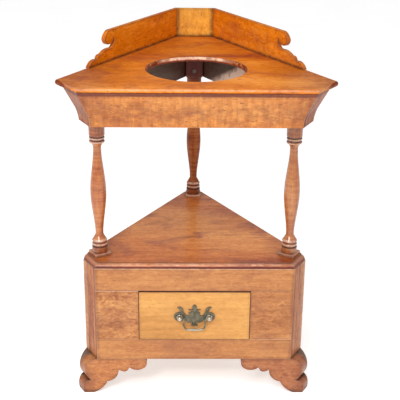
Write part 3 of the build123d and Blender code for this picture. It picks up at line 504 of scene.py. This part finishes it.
def grain_group():
    """Long grain, broad tone, mottled figure, cross bands, stains and dark flecks of old wood."""
    group, tree, entry, finish = new_group(
        "long_grain",
        [
            ("Place", VECTOR, None),
            ("Wood", COLOUR, None),
            ("Clouds", NUMBER, 0.36),
            ("Figure", NUMBER, 0.5),
            ("Bands", NUMBER, 0.0),
            ("Flecks", NUMBER, 0.5),
            ("Stain", NUMBER, 0.3),
            ("Streaks", NUMBER, 0.5),
        ],
        [("Color", COLOUR), ("Height", NUMBER), ("Tone", NUMBER)],
    )
    place = entry["Place"]
    wood = entry["Wood"]
    clouds = tree.grain_noise(place, along=1.6, across=6.0, detail=3.0, distortion=0.6)
    streaks = tree.grain_noise(place, along=7.0, across=95.0, detail=5.0, roughness=0.6)
    fibres = tree.grain_noise(place, along=40.0, across=900.0, detail=3.0)
    figure = tree.grain_noise(
        place, along=48.0, across=85.0, detail=5.0, roughness=0.68, distortion=1.2
    )
    bands = tree.grain_noise(place, along=150.0, across=14.0, detail=2.0, distortion=0.3)
    flecks = tree.grain_noise(
        place, along=75.0, across=210.0, detail=4.0, roughness=0.65, distortion=0.8
    )
    stains = tree.grain_noise(
        place, along=8.0, across=13.0, detail=6.0, roughness=0.68, distortion=0.5
    )

    tone = tree.swing(clouds, 0.30, 0.70, entry["Clouds"])
    for pattern, low, high, strength in (
        (streaks, 0.30, 0.70, entry["Streaks"]),
        (fibres, 0.30, 0.70, FIBRE_STRENGTH),
        (figure, 0.32, 0.68, entry["Figure"]),
        (bands, 0.38, 0.62, entry["Bands"]),
    ):
        tone = tree.math("ADD", tone, tree.swing(pattern, low, high, strength))

    lower = tree.mix(tree.spread(tone, -1.0, 0.0), tree.tint(wood, *DARK_GRAIN), wood)
    colour = tree.mix(tree.spread(tone, 0.0, 1.0), lower, tree.tint(wood, *LIGHT_GRAIN))
    stain_mask = tree.spread(stains, 0.49, 0.68)
    colour = tree.cover(colour, tree.tint(wood, *STAINED), stain_mask, entry["Stain"])
    fleck_mask = tree.math("MULTIPLY", tree.spread(flecks, 0.59, 0.68), entry["Flecks"])
    colour = tree.mix(fleck_mask, colour, tree.tint(wood, *FLECKED))

    height = tree.math("ADD", tree.math("MULTIPLY", streaks, 0.5), fibres)
    height = tree.math("SUBTRACT", height, fleck_mask)
    return close_group(group, tree, finish, {"Color": colour, "Height": height, "Tone": tone})


def edge_group():
    """Masks for a board's edges, its borders and the corners where it meets its neighbours."""
    group, tree, entry, finish = new_group(
        "edges_and_joints",
        [
            ("Place", VECTOR, None),
            ("Edge width", NUMBER, 0.0016),
            ("Joint reach", NUMBER, 0.02),
            ("Border width", NUMBER, 0.008),
        ],
        [("Edge", NUMBER), ("Joint", NUMBER), ("Border", NUMBER), ("Normal", VECTOR)],
    )
    wander = tree.noise(entry["Place"], 55.0, detail=4.0, roughness=0.6)

    rounded = tree.add("ShaderNodeBevel", {"Radius": entry["Edge width"]}, samples=6).outputs[0]
    surface = tree.add("ShaderNodeNewGeometry").outputs["Normal"]
    likeness = tree.vector_math("DOT_PRODUCT", rounded, surface)["Value"]
    edge = tree.broken(tree.spread(likeness, *EDGE_LIKENESS), wander, 0.30, 0.60, least=0.35)

    # Joint mask: dark where neighbours close in, for dirt in the joints and for painted shade
    reach = {"Distance": entry["Joint reach"]}
    openness = tree.add("ShaderNodeAmbientOcclusion", reach, samples=8).outputs["AO"]
    joint = tree.broken(tree.spread(openness, *JOINT_OPENNESS), wander, 0.25, 0.60, least=0.55)

    depth = tree.add(
        "ShaderNodeAmbientOcclusion",
        {"Distance": entry["Border width"]},
        samples=8,
        inside=True,
        only_local=True,
    ).outputs["AO"]
    border = tree.broken(tree.spread(depth, *BORDER_DEPTH), wander, 0.30, 0.62, least=0.25)

    results = {"Edge": edge, "Joint": joint, "Border": border, "Normal": rounded}
    return close_group(group, tree, finish, results)


def zone_group():
    """A zone that grows along one direction, the same on the left as on the right."""
    group, tree, entry, finish = new_group(
        "soft_zone",
        [
            ("Place", VECTOR, None),
            ("Direction", VECTOR, None),
            ("Start", NUMBER, 0.0),
            ("End", NUMBER, 1.0),
        ],
        [("Zone", NUMBER)],
    )
    parts = tree.add("ShaderNodeSeparateXYZ", {0: entry["Place"]}).outputs
    sideways = tree.math("ABSOLUTE", parts["X"])
    mirrored = tree.add(
        "ShaderNodeCombineXYZ", {"X": sideways, "Y": parts["Y"], "Z": parts["Z"]}
    ).outputs[0]
    reach = tree.vector_math("DOT_PRODUCT", mirrored, entry["Direction"])["Value"]
    ramp = tree.spread(reach, entry["Start"], entry["End"])
    wander = tree.noise(entry["Place"], 70.0, detail=5.0, roughness=0.65)
    zone = tree.broken(ramp, wander, 0.30, 0.60, least=0.45)
    return close_group(group, tree, finish, {"Zone": zone})


def ring_group():
    """A ring round an upright axis, broken up by a noise, that masks the rim's painted shade and
    painted highlight.
    """
    group, tree, entry, finish = new_group(
        "worn_ring",
        [
            ("Place", VECTOR, None),
            ("Centre", VECTOR, None),
            ("Radius", NUMBER, 0.1),
            ("Width", NUMBER, 0.003),
        ],
        [("Ring", NUMBER)],
    )
    from_centre = tree.vector_math("SUBTRACT", entry["Place"], entry["Centre"])["Vector"]
    level = tree.vector_math("MULTIPLY", from_centre, (1.0, 1.0, 0.0))["Vector"]
    reach = tree.vector_math("LENGTH", level)["Value"]
    off_ring = tree.math("ABSOLUTE", tree.math("SUBTRACT", reach, entry["Radius"]))
    mask = tree.spread(tree.math("DIVIDE", off_ring, entry["Width"]), 0.6, 1.0, 1.0, 0.0)
    wander = tree.noise(entry["Place"], 90.0, detail=5.0, roughness=0.65)
    ring = tree.broken(mask, wander, 0.35, 0.58, least=0.2)
    return close_group(group, tree, finish, {"Ring": ring})


def shared_group(name, builder):
    """A node group that is built once and then used by every material."""
    return bpy.data.node_groups.get(name) or builder()


# Materials
def new_material(name):
    """A material with an empty tree, its shader and its Object coordinates."""
    material = bpy.data.materials.new(name)
    material.use_nodes = True
    material.node_tree.nodes.clear()
    tree = Tree(material.node_tree)
    shader = tree.add("ShaderNodeBsdfPrincipled")
    output = tree.add("ShaderNodeOutputMaterial")
    tree.link(shader.outputs["BSDF"], output, "Surface")
    place = tree.add("ShaderNodeTexCoord").outputs["Object"]
    return material, tree, shader, place


def zone_mask(tree, place, zone):
    """Mask of a zone, rising from its start to its end."""
    group = shared_group("soft_zone", zone_group)
    inputs = {"Place": place, "Direction": zone.direction, "Start": zone.start, "End": zone.end}
    return tree.group(group, inputs)["Zone"]


def band_mask(tree, place, band):
    """Mask of a band between its start and its end, soft at both borders."""
    soft = (band.end - band.start) * BAND_SOFT_SHARE
    rising = zone_mask(tree, place, Zone(band.direction, band.start, band.start + soft))
    falling = zone_mask(tree, place, Zone(band.direction, band.end, band.end - soft))
    return tree.math("MULTIPLY", rising, falling)


def overlap_mask(tree, place, first, second):
    """Mask of the place where two zones overlap."""
    return tree.math("MULTIPLY", zone_mask(tree, place, first), zone_mask(tree, place, second))


def rim_colour(tree, place, colour, soiled, rubbed):
    """The basin hole's rim: painted shade all round its wall, and a painted highlight along the
    upper edge of its back.
    """
    group = shared_group("worn_ring", ring_group)
    ring = {"Place": place, "Centre": HOLE_CENTRE, "Radius": HOLE_RADIUS}
    dark = tree.group(group, {**ring, "Width": RIM_DARK_WIDTH})["Ring"]
    pale = tree.group(group, {**ring, "Width": RIM_PALE_WIDTH})["Ring"]
    upper_back = overlap_mask(tree, place, RIM_BACK, RIM_UPPER_EDGE)
    pale_back = tree.math("MULTIPLY", pale, upper_back)
    colour = tree.cover(colour, soiled, dark, RIM_DARKNESS)
    return tree.cover(colour, rubbed, pale_back, RIM_PALENESS)


def wood_material(
    name,
    wood,
    turn,
    seed,
    clouds=0.36,
    figure=0.35,
    bands=0.0,
    flecks=0.6,
    stain=0.35,
    streaks=0.5,
    edge_light=0.35,
    edge_width=0.0016,
    joint_dark=0.9,
    joint_reach=0.02,
    border_dark=0.45,
    border_width=0.008,
    polish=0.1,
    shine=0.3,
    paleness=0.3,
    rubbed_bands=(),
    dirty_bands=(),
    bare_overlaps=(),
    dirty_zones=(),
    rim=False,
):
    """Polished old wood, with the dirt, wear, painted shade and painted highlights of one piece.

    Clouds to streaks are the strengths of the patterns in the grain. Then come how strongly
    pale edges (wear and painted highlights), dark joints with neighbours (dirt and painted
    shade) and darkened borders show, and how wide they are. Polish is the weight of the coat,
    shine the gloss of the wood under it, and paleness how far the pale colour of wear and
    highlights fades. Pale bands, lit overlaps, shade bands and dark zones say where the piece
    gets painted highlights and pale seams, a painted pool of light, painted shade in grooves,
    and painted shade and darkening, and rim adds the basin hole's rim with its painted shade
    and painted highlight.
    """
    colours = bpy.context.scene.washstand_wood
    material, tree, shader, place = new_material(name)
    grain_place = tree.add(
        "ShaderNodeMapping", {"Vector": place, "Location": SEED_STEP * seed, "Rotation": turn}
    ).outputs[0]
    grain = tree.group(
        shared_group("long_grain", grain_group),
        {
            "Place": grain_place,
            "Wood": tuple(wood),
            "Clouds": clouds,
            "Figure": figure,
            "Bands": bands,
            "Flecks": flecks,
            "Stain": stain,
            "Streaks": streaks,
        },
    )
    edges = tree.group(
        shared_group("edges_and_joints", edge_group),
        {
            "Place": place,
            "Edge width": edge_width,
            "Joint reach": joint_reach,
            "Border width": border_width,
        },
    )
    # Soil and shade: the grain darkened towards the soil colour, for soiled borders and for
    # painted shade under overhangs, in grooves, in gaps and in recesses. Wear and highlight: the
    # wood paled, for rubbed edges and for painted highlights on rounded edges and beads.
    soiled = tree.mix(SOIL_SHARE, tree.tint(grain["Color"], *SOILED), tuple(colours.soil))
    rubbed = tree.mix(paleness, tree.tint(tuple(wood), *RUBBED), PALE_WOOD)

    colour = tree.cover(grain["Color"], soiled, edges["Border"], border_dark)
    # Pale bands are mostly painted highlights, dark bands painted shade in grooves, overlaps a
    # painted pool of light, and dark zones mostly painted shade
    for band in rubbed_bands:
        colour = tree.cover(colour, rubbed, band_mask(tree, place, band), band.amount)
    for band in dirty_bands:
        colour = tree.cover(colour, soiled, band_mask(tree, place, band), band.amount)
    for first, second in bare_overlaps:
        both = overlap_mask(tree, place, first, second)
        colour = tree.cover(colour, rubbed, both, first.amount * second.amount)
    if rim:
        colour = rim_colour(tree, place, colour, soiled, rubbed)
    for zone in dirty_zones:
        colour = tree.cover(colour, soiled, zone_mask(tree, place, zone), zone.amount)
    # Pale edges stand for wear and painted highlights; dark joints for dirt and painted shade
    # where neighbours close in
    colour = tree.cover(colour, rubbed, edges["Edge"], edge_light)
    colour = tree.cover(colour, tuple(colours.grime), edges["Joint"], joint_dark)

    rough = tree.spread(grain["Tone"], -0.8, 0.8, DARK_ROUGHNESS, LIGHT_ROUGHNESS)
    joint_rough = tree.math("MULTIPLY", edges["Joint"], JOINT_ROUGHNESS)
    tree.link(colour, shader, "Base Color")
    tree.link(tree.math("ADD", rough, joint_rough), shader, "Roughness")
    tree.link(tree.bump(WOOD_BUMP, grain["Height"], edges["Normal"]), shader, "Normal")
    shader.inputs["Specular IOR Level"].default_value = shine
    shader.inputs["Coat Weight"].default_value = polish
    shader.inputs["Coat Roughness"].default_value = POLISH_ROUGHNESS
    return material


def metal_material(name, base, bright, rubbed_share, smooth, rough, rubbed_zone=None):
    """Aged metal: mottled skin, rubbed bright edges, dirty corners, and a bright zone if given."""
    material, tree, shader, place = new_material(name)
    cloud = tree.noise(place, 160.0, detail=6.0, roughness=0.65)
    specks = tree.noise(place, 900.0, detail=3.0, roughness=0.6)
    edges = tree.group(
        shared_group("edges_and_joints", edge_group),
        {"Place": place, "Edge width": 0.0007, "Joint reach": 0.004},
    )
    tarnish = tree.tint(tuple(base), *TARNISHED)
    patina = tree.mix(tree.spread(cloud, 0.35, 0.65), tarnish, tuple(base))
    rub = tree.math("MULTIPLY", tree.spread(cloud, 0.45, 0.62), rubbed_share)
    edge_rub = tree.math("MULTIPLY", edges["Edge"], METAL_EDGE_RUB)
    rub = tree.math("MAXIMUM", rub, edge_rub)
    if rubbed_zone is not None:
        zone_rub = tree.math("MULTIPLY", zone_mask(tree, place, rubbed_zone), METAL_ZONE_RUB)
        rub = tree.math("MAXIMUM", rub, zone_rub)
    colour = tree.mix(rub, patina, tuple(bright))
    colour = tree.cover(colour, METAL_DIRT, edges["Joint"], METAL_CORNER_DIRT)

    height = tree.math("ADD", specks, cloud)
    tree.link(colour, shader, "Base Color")
    tree.link(tree.spread(height, 0.7, 1.3, smooth, rough), shader, "Roughness")
    tree.link(tree.bump(METAL_BUMP, height, edges["Normal"]), shader, "Normal")
    shader.inputs["Metallic"].default_value = METALLIC
    return material


def steel_material(name):
    """Dull dark steel of screws and nuts."""
    return metal_material(name, STEEL, RUBBED_STEEL, rubbed_share=0.3, smooth=0.4, rough=0.65)


# Pieces
def give(node_name, material):
    """Give a carried-over node one material all over."""
    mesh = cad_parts[node_name].data
    mesh.materials.clear()
    mesh.materials.append(material)
    for face in mesh.polygons:
        face.material_index = 0


def give_wood(node_name, wood, turn, seed, **looks):
    """Give a node its own wood."""
    give(node_name, wood_material(f"{node_name}_wood", wood, turn, seed, **looks))


def give_raw_wood(node_name, turn, seed):
    """Give a node unpolished inner wood, with less figure, fewer flecks and paler joints."""
    wood = bpy.context.scene.washstand_wood.inner
    give_wood(
        node_name,
        wood,
        turn,
        seed,
        figure=0.25,
        flecks=0.35,
        edge_light=0.15,
        joint_dark=0.7,
        polish=0.0,
    )


def bevelled_copy(node_name, piece_name, width):
    """A copy of a node's mesh, merged, with every sharp edge bevelled."""
    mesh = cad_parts[node_name].data.copy()
    mesh.materials.clear()
    piece = bpy.data.objects.new(piece_name, mesh)
    bpy.context.scene.collection.objects.link(piece)
    bpy.ops.object.select_all(action="DESELECT")
    piece.select_set(True)
    bpy.context.view_layer.objects.active = piece
    bpy.ops.object.mode_set(mode="EDIT")
    bpy.ops.mesh.select_all(action="SELECT")
    bpy.ops.mesh.remove_doubles(threshold=MERGE_DISTANCE)
    bpy.ops.mesh.dissolve_limited(angle_limit=FLAT_ANGLE)
    bpy.ops.object.mode_set(mode="OBJECT")
    bevel = piece.modifiers.new("bevel", "BEVEL")
    bevel.width = width
    bevel.segments = BEVEL_SEGMENTS
    bevel.limit_method = "ANGLE"
    bpy.ops.object.modifier_apply(modifier=bevel.name)
    bpy.ops.object.shade_smooth_by_angle(angle=SHARP_ANGLE)
    return piece


# Operators, one for each group of pieces
class WASHSTAND_OT_top(bpy.types.Operator):
    """Finish the top board and the gallery round it."""

    bl_idname = "washstand.top"
    bl_label = "Top and gallery"

    def execute(self, context):
        wood = context.scene.washstand_wood
        give_wood(
            "top_board",
            wood.top,
            GRAIN_ACROSS,
            33.0,
            clouds=0.65,
            figure=0.30,
            stain=0.7,
            streaks=0.20,
            edge_light=0.55,
            edge_width=0.0011,
            joint_reach=0.012,
            border_dark=0.25,
            polish=0.0,
            shine=0.08,
            paleness=0.66,
            # Painted highlight along the front edge; painted shade under it and beside the walls
            rubbed_bands=(TOP_FRONT_EDGE,),
            dirty_zones=(TOP_UNDERSIDE, TOP_ENDS, TOP_BESIDE_WALLS, TOP_BACK, TOP_CANT_EDGES),
            rim=True,
        )
        for side, turn, seed, stain in (
            ("left", GRAIN_LEFT_WALL, 2.0, 0.40),
            ("right", GRAIN_RIGHT_WALL, 3.0, 0.62),
        ):
            give_wood(
                f"gallery_side_{side}",
                wood.gallery,
                turn,
                seed,
                clouds=0.6,
                figure=0.42,
                stain=stain,
                streaks=0.15,
                edge_light=0.7,
                edge_width=0.0010,
                joint_reach=0.010,
                border_dark=0.8,
                border_width=0.0075,
                polish=0.0,
                shine=0.15,
                paleness=0.45,
            )
        give_wood(
            "gallery_corner_panel",
            wood.panel,
            GRAIN_UPRIGHT,
            4.0,
            figure=0.5,
            stain=0.4,
            streaks=0.2,
            joint_reach=0.012,
            border_dark=0.8,
            border_width=0.007,
            polish=0.0,
            shine=0.15,
            dirty_zones=(PANEL_SIDES,),
        )
        return {"FINISHED"}


class WASHSTAND_OT_frieze(bpy.types.Operator):
    """Finish the flared frieze and what is behind it."""

    bl_idname = "washstand.frieze"
    bl_label = "Frieze"

    def execute(self, context):
        wood = context.scene.washstand_wood
        give_wood(
            "frieze_front",
            wood.frieze,
            GRAIN_ACROSS,
            5.0,
            figure=0.30,
            bands=0.19,
            flecks=0.8,
            stain=0.55,
            streaks=0.14,
            border_dark=0.6,
            border_width=0.014,
            dirty_zones=(FRIEZE_UNDER_TOP, FRIEZE_UPPER_PART, FRIEZE_ENDS),
        )
        for side, turn, seed, bare_overlaps in (
            ("left", GRAIN_LEFT_WALL, 6.0, ()),
            # The right wall board gets a painted pool of light on its inner face
            ("right", GRAIN_RIGHT_WALL, 7.0, ((BARE_CORNER, WALL_BOARD_INNER_FACE),)),
        ):
            give_wood(
                f"frieze_cant_{side}",
                wood.frieze_cant,
                GRAIN_UPRIGHT,
                seed,
                figure=0.5,
                edge_light=0.9,
                border_dark=0.6,
                border_width=0.010,
                polish=0.0,
                shine=0.06,
                paleness=0.5,
                dirty_zones=(CANT_UNDER_TOP,),
            )
            give_wood(
                f"frieze_wall_{side}",
                wood.hidden,
                turn,
                seed,
                polish=0.0,
                shine=0.1,
                paleness=0.9,
                bare_overlaps=bare_overlaps,
                dirty_zones=(WALL_BOARD_BACK,),
            )
        give_raw_wood("frieze_glue_blocks", GRAIN_ACROSS, 8.0)
        return {"FINISHED"}


class WASHSTAND_OT_posts(bpy.types.Operator):
    """Finish the turned posts, their plinths and the rear post's screw."""

    bl_idname = "washstand.posts"
    bl_label = "Posts"

    def execute(self, context):
        wood = context.scene.washstand_wood
        # Painted shadow on the heads, painted shade on the rear head, and darkening towards the
        # feet
        front_dirt = (POST_HEAD_DIRT, POST_FOOT_DIRT)
        rear_dirt = (POST_HEAD_DIRT, REAR_HEAD_DIRT, POST_FOOT_DIRT)
        for name, colour, seed, polish, dirty_zones in (
            ("front_post_left", wood.post, 9.0, 1.0, front_dirt),
            ("front_post_right", wood.right_post, 10.0, 1.0, front_dirt),
            ("rear_post", wood.rear_post, 11.0, 0.0, rear_dirt),
        ):
            give_wood(
                name,
                colour,
                GRAIN_UPRIGHT,
                seed,
                figure=0.16,
                bands=0.34,
                flecks=0.4,
                stain=0.2,
                edge_light=0.7,
                edge_width=0.0004,
                joint_reach=0.009,
                border_dark=0.2,
                border_width=0.003,
                polish=polish,
                shine=0.2,
                paleness=0.75,
                # Painted highlights on the beads and painted shade in the grooves
                rubbed_bands=RUBBED_BEADS,
                dirty_bands=DIRTY_GROOVES,
                dirty_zones=dirty_zones,
            )
        for name, seed in (
            ("front_plinth_left", 12.0),
            ("front_plinth_right", 13.0),
            ("rear_plinth", 14.0),
        ):
            give_wood(
                name,
                wood.plinth,
                GRAIN_ACROSS,
                seed,
                stain=0.6,
                edge_light=0.95,
                edge_width=0.0008,
                joint_dark=0.6,
                joint_reach=0.008,
                border_dark=0.2,
                paleness=0.6,
            )
        give("rear_post_screw", steel_material("screw_steel"))
        return {"FINISHED"}


class WASHSTAND_OT_case(bpy.types.Operator):
    """Finish the shelf board and the case under it."""

    bl_idname = "washstand.case"
    bl_label = "Shelf and case"

    def execute(self, context):
        wood = context.scene.washstand_wood
        give_wood(
            "shelf_board",
            wood.shelf,
            GRAIN_ACROSS,
            15.0,
            clouds=0.75,
            figure=0.34,
            stain=0.8,
            streaks=0.30,
            edge_light=0.6,
            edge_width=0.0011,
            polish=0.4,
            paleness=0.5,
            # Painted highlight along the upper edge; painted shadow under the edge and painted
            # shade at the ends
            rubbed_bands=(SHELF_UPPER_EDGE,),
            dirty_zones=(SHELF_LOWER_EDGE, SHELF_ENDS),
        )
        for name, seed, figure, rubbed_bands, dirty_zones in (
            # Painted highlight on the rail's top edge and painted shade above the drawer; pale
            # lines along the panels' seams
            ("case_top_rail", 16.0, 0.30, (UNDER_SHELF,), (ABOVE_DRAWER,)),
            ("case_bottom_rail", 17.0, 0.30, (), ()),
            ("case_front_panel_left", 18.0, 0.85, (UPPER_SEAM,), ()),
            ("case_front_panel_right", 19.0, 0.45, (LOWER_SEAM,), ()),
        ):
            give_wood(
                name,
                wood.case,
                GRAIN_ACROSS,
                seed,
                figure=figure,
                flecks=0.35,
                stain=0.5,
                streaks=0.3,
                paleness=0.45,
                rubbed_bands=rubbed_bands,
                dirty_zones=dirty_zones,
            )
        for side, turn, seed in (
            ("left", GRAIN_LEFT_WALL, 20.0),
            ("right", GRAIN_RIGHT_WALL, 21.0),
        ):
            give_wood(
                f"case_cant_{side}",
                wood.cant,
                GRAIN_UPRIGHT,
                seed,
                figure=0.4,
                streaks=0.9,
                edge_light=0.8,
                polish=0.0,
                shine=0.1,
                paleness=0.5,
            )
            give_wood(f"case_wall_{side}", wood.case, turn, seed)
            for strip in ("drawer_runner", "drawer_guide", "drawer_kicker"):
                give_raw_wood(f"{strip}_{side}", GRAIN_DEEP, seed)
        give_wood("case_corner_board", wood.case, GRAIN_UPRIGHT, 22.0)
        give_raw_wood("case_bottom", GRAIN_ACROSS, 23.0)
        give_raw_wood("drawer_stops", GRAIN_ACROSS, 24.0)
        return {"FINISHED"}


class WASHSTAND_OT_drawer(bpy.types.Operator):
    """Finish the drawer's front and its plain box."""

    bl_idname = "washstand.drawer"
    bl_label = "Drawer"

    def execute(self, context):
        wood = context.scene.washstand_wood
        give_wood(
            "drawer_front",
            wood.drawer,
            GRAIN_ACROSS,
            25.0,
            figure=0.18,
            flecks=0.25,
            stain=0.15,
            streaks=0.18,
            edge_light=0.0,
            # Painted shade in the gap along the top edge
            dirty_zones=(DRAWER_TOP_EDGE,),
        )
        for name, turn, seed in (
            ("drawer_side_left", GRAIN_DEEP, 26.0),
            ("drawer_side_right", GRAIN_DEEP, 27.0),
            ("drawer_back", GRAIN_ACROSS, 28.0),
            ("drawer_bottom", GRAIN_ACROSS, 29.0),
        ):
            give_raw_wood(name, turn, seed)
        return {"FINISHED"}


class WASHSTAND_OT_feet(bpy.types.Operator):
    """Finish the bracket feet and the plain rear foot."""

    bl_idname = "washstand.feet"
    bl_label = "Feet"

    def execute(self, context):
        wood = context.scene.washstand_wood
        for side, seed, colour in (("left", 30.0, wood.foot), ("right", 31.0, wood.right_foot)):
            give_wood(
                f"foot_bracket_{side}",
                colour,
                GRAIN_ACROSS,
                seed,
                figure=0.5,
                stain=0.5,
                streaks=0.25,
                edge_light=0.5,
                border_dark=0.75,
                border_width=0.012,
                dirty_zones=(FOOT_OUTER_SIDES,),
            )
            give_wood(
                f"foot_return_{side}",
                wood.foot_return,
                GRAIN_DEEP,
                seed,
                figure=0.3,
                edge_light=0.8,
                paleness=0.5,
            )
            give_raw_wood(f"foot_block_{side}", GRAIN_UPRIGHT, seed)
        give_raw_wood("rear_foot", GRAIN_UPRIGHT, 32.0)
        return {"FINISHED"}


class WASHSTAND_OT_pull(bpy.types.Operator):
    """Finish the bail pull."""

    bl_idname = "washstand.pull"
    bl_label = "Drawer pull"

    def execute(self, context):
        pull = context.scene.washstand_pull
        plate = bevelled_copy("pull_plate", "chased_plate", pull.bevel)
        plate.data.materials.append(
            metal_material(
                "plate_brass", pull.brass, pull.rubbed, rubbed_share=0.12, smooth=0.42, rough=0.62
            )
        )
        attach(plate, "drawer")
        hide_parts("pull_plate")
        give(
            "pull_posts",
            metal_material(
                "post_brass", pull.rubbed, pull.rubbed, rubbed_share=0.6, smooth=0.22, rough=0.40
            ),
        )
        give(
            "pull_bail",
            metal_material(
                "bail_brass",
                pull.brass,
                pull.rubbed,
                rubbed_share=0.25,
                smooth=0.32,
                rough=0.50,
                rubbed_zone=BAIL_GRIP,
            ),
        )
        give("pull_nuts", steel_material("nut_steel"))
        return {"FINISHED"}


class WASHSTAND_OT_stage(bpy.types.Operator):
    """Set the floor, the white room, the lights and the camera."""

    bl_idname = "washstand.stage"
    bl_label = "Studio"

    def execute(self, context):
        stage = context.scene.washstand_stage
        make_floor(stage)
        make_room(context.scene, stage)
        for name, place, target, size, power_setting in STUDIO_LIGHTS:
            make_light(name, place, target, size, getattr(stage, power_setting))
        make_camera(context.scene, stage)
        return {"FINISHED"}


# Studio
def make_floor(stage):
    """A wide pale floor that gives out a little light of its own."""
    bpy.ops.object.select_all(action="DESELECT")
    bpy.ops.mesh.primitive_plane_add(size=FLOOR_SIZE, location=(0.0, 0.0, 0.0))
    floor = bpy.context.object
    floor.name = "studio_floor"
    material, tree, shader, place = new_material("floor_paper")
    cloud = tree.noise(place, 3.0, detail=3.0)
    darker = tree.tint(tuple(stage.floor), *SHADED_PAPER)
    colour = tree.mix(tree.spread(cloud, 0.3, 0.7), darker, tuple(stage.floor))
    tree.link(colour, shader, "Base Color")
    tree.link(colour, shader, "Emission Color")
    shader.inputs["Emission Strength"].default_value = stage.floor_glow
    shader.inputs["Roughness"].default_value = FLOOR_ROUGHNESS
    floor.data.materials.append(material)


def make_room(scene, stage):
    """A white room all round, brighter as a backdrop than as a light."""
    world = bpy.data.worlds.new("white_room")
    world.use_nodes = True
    background = next(n for n in world.node_tree.nodes if n.type == "BACKGROUND")
    background.inputs["Color"].default_value = (1.0, 1.0, 1.0, 1.0)
    tree = Tree(world.node_tree)
    seen = tree.add("ShaderNodeLightPath").outputs["Is Camera Ray"]
    strength = tree.spread(seen, 0.0, 1.0, stage.room_strength, BACKDROP_STRENGTH)
    tree.link(strength, background, "Strength")
    scene.world = world
    scene.view_settings.view_transform = "Standard"


def make_light(name, place, target, size, power):
    """A soft square light that faces the stand."""
    light = bpy.data.lights.new(name, "AREA")
    light.shape = "SQUARE"
    light.size = size
    light.energy = power
    lamp = bpy.data.objects.new(name, light)
    lamp.location = place
    aim = Vector(target) - Vector(place)
    lamp.rotation_euler = aim.to_track_quat("-Z", "Y").to_euler()
    bpy.context.scene.collection.objects.link(lamp)


def make_camera(scene, stage):
    """The camera of the photograph's view."""
    lens = bpy.data.cameras.new("view_camera")
    lens.sensor_width = SENSOR_WIDTH
    lens.lens = stage.lens
    camera = bpy.data.objects.new("view_camera", lens)
    camera.location = stage.camera_place
    yaw = Euler((0.0, 0.0, stage.camera_yaw)).to_matrix()
    pitch = Euler((pi / 2 - stage.camera_pitch, 0.0, 0.0)).to_matrix()
    roll = Euler((0.0, 0.0, stage.camera_roll)).to_matrix()
    camera.rotation_euler = (yaw @ pitch @ roll).to_euler()
    scene.collection.objects.link(camera)
    scene.camera = camera


# Add-on
OPERATORS = (
    WASHSTAND_OT_top,
    WASHSTAND_OT_frieze,
    WASHSTAND_OT_posts,
    WASHSTAND_OT_case,
    WASHSTAND_OT_drawer,
    WASHSTAND_OT_feet,
    WASHSTAND_OT_pull,
    WASHSTAND_OT_stage,
)


class WASHSTAND_PT_panel(bpy.types.Panel):
    """The washstand's steps in the sidebar."""

    bl_label = "Corner washstand"
    bl_idname = "WASHSTAND_PT_panel"
    bl_space_type = "VIEW_3D"
    bl_region_type = "UI"
    bl_category = "Washstand"

    def draw(self, context):
        for step in OPERATORS:
            self.layout.operator(step.bl_idname)


SETTINGS = {
    "washstand_wood": WashstandWoodSettings,
    "washstand_pull": WashstandPullSettings,
    "washstand_stage": WashstandStageSettings,
}


def register():
    """Register the settings, the operators and the panel."""
    for kind in (*SETTINGS.values(), *OPERATORS, WASHSTAND_PT_panel):
        bpy.utils.register_class(kind)
    for name, kind in SETTINGS.items():
        setattr(bpy.types.Scene, name, bpy.props.PointerProperty(type=kind))


def unregister():
    """Take the settings, the operators and the panel away again."""
    for name in SETTINGS:
        delattr(bpy.types.Scene, name)
    for kind in (WASHSTAND_PT_panel, *reversed(OPERATORS), *SETTINGS.values()):
        bpy.utils.unregister_class(kind)


def main():
    """Register the add-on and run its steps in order."""
    register()
    bpy.ops.washstand.top()
    bpy.ops.washstand.frieze()
    bpy.ops.washstand.posts()
    bpy.ops.washstand.case()
    bpy.ops.washstand.drawer()
    bpy.ops.washstand.feet()
    bpy.ops.washstand.pull()
    bpy.ops.washstand.stage()


if __name__ == "__main__":
    main()
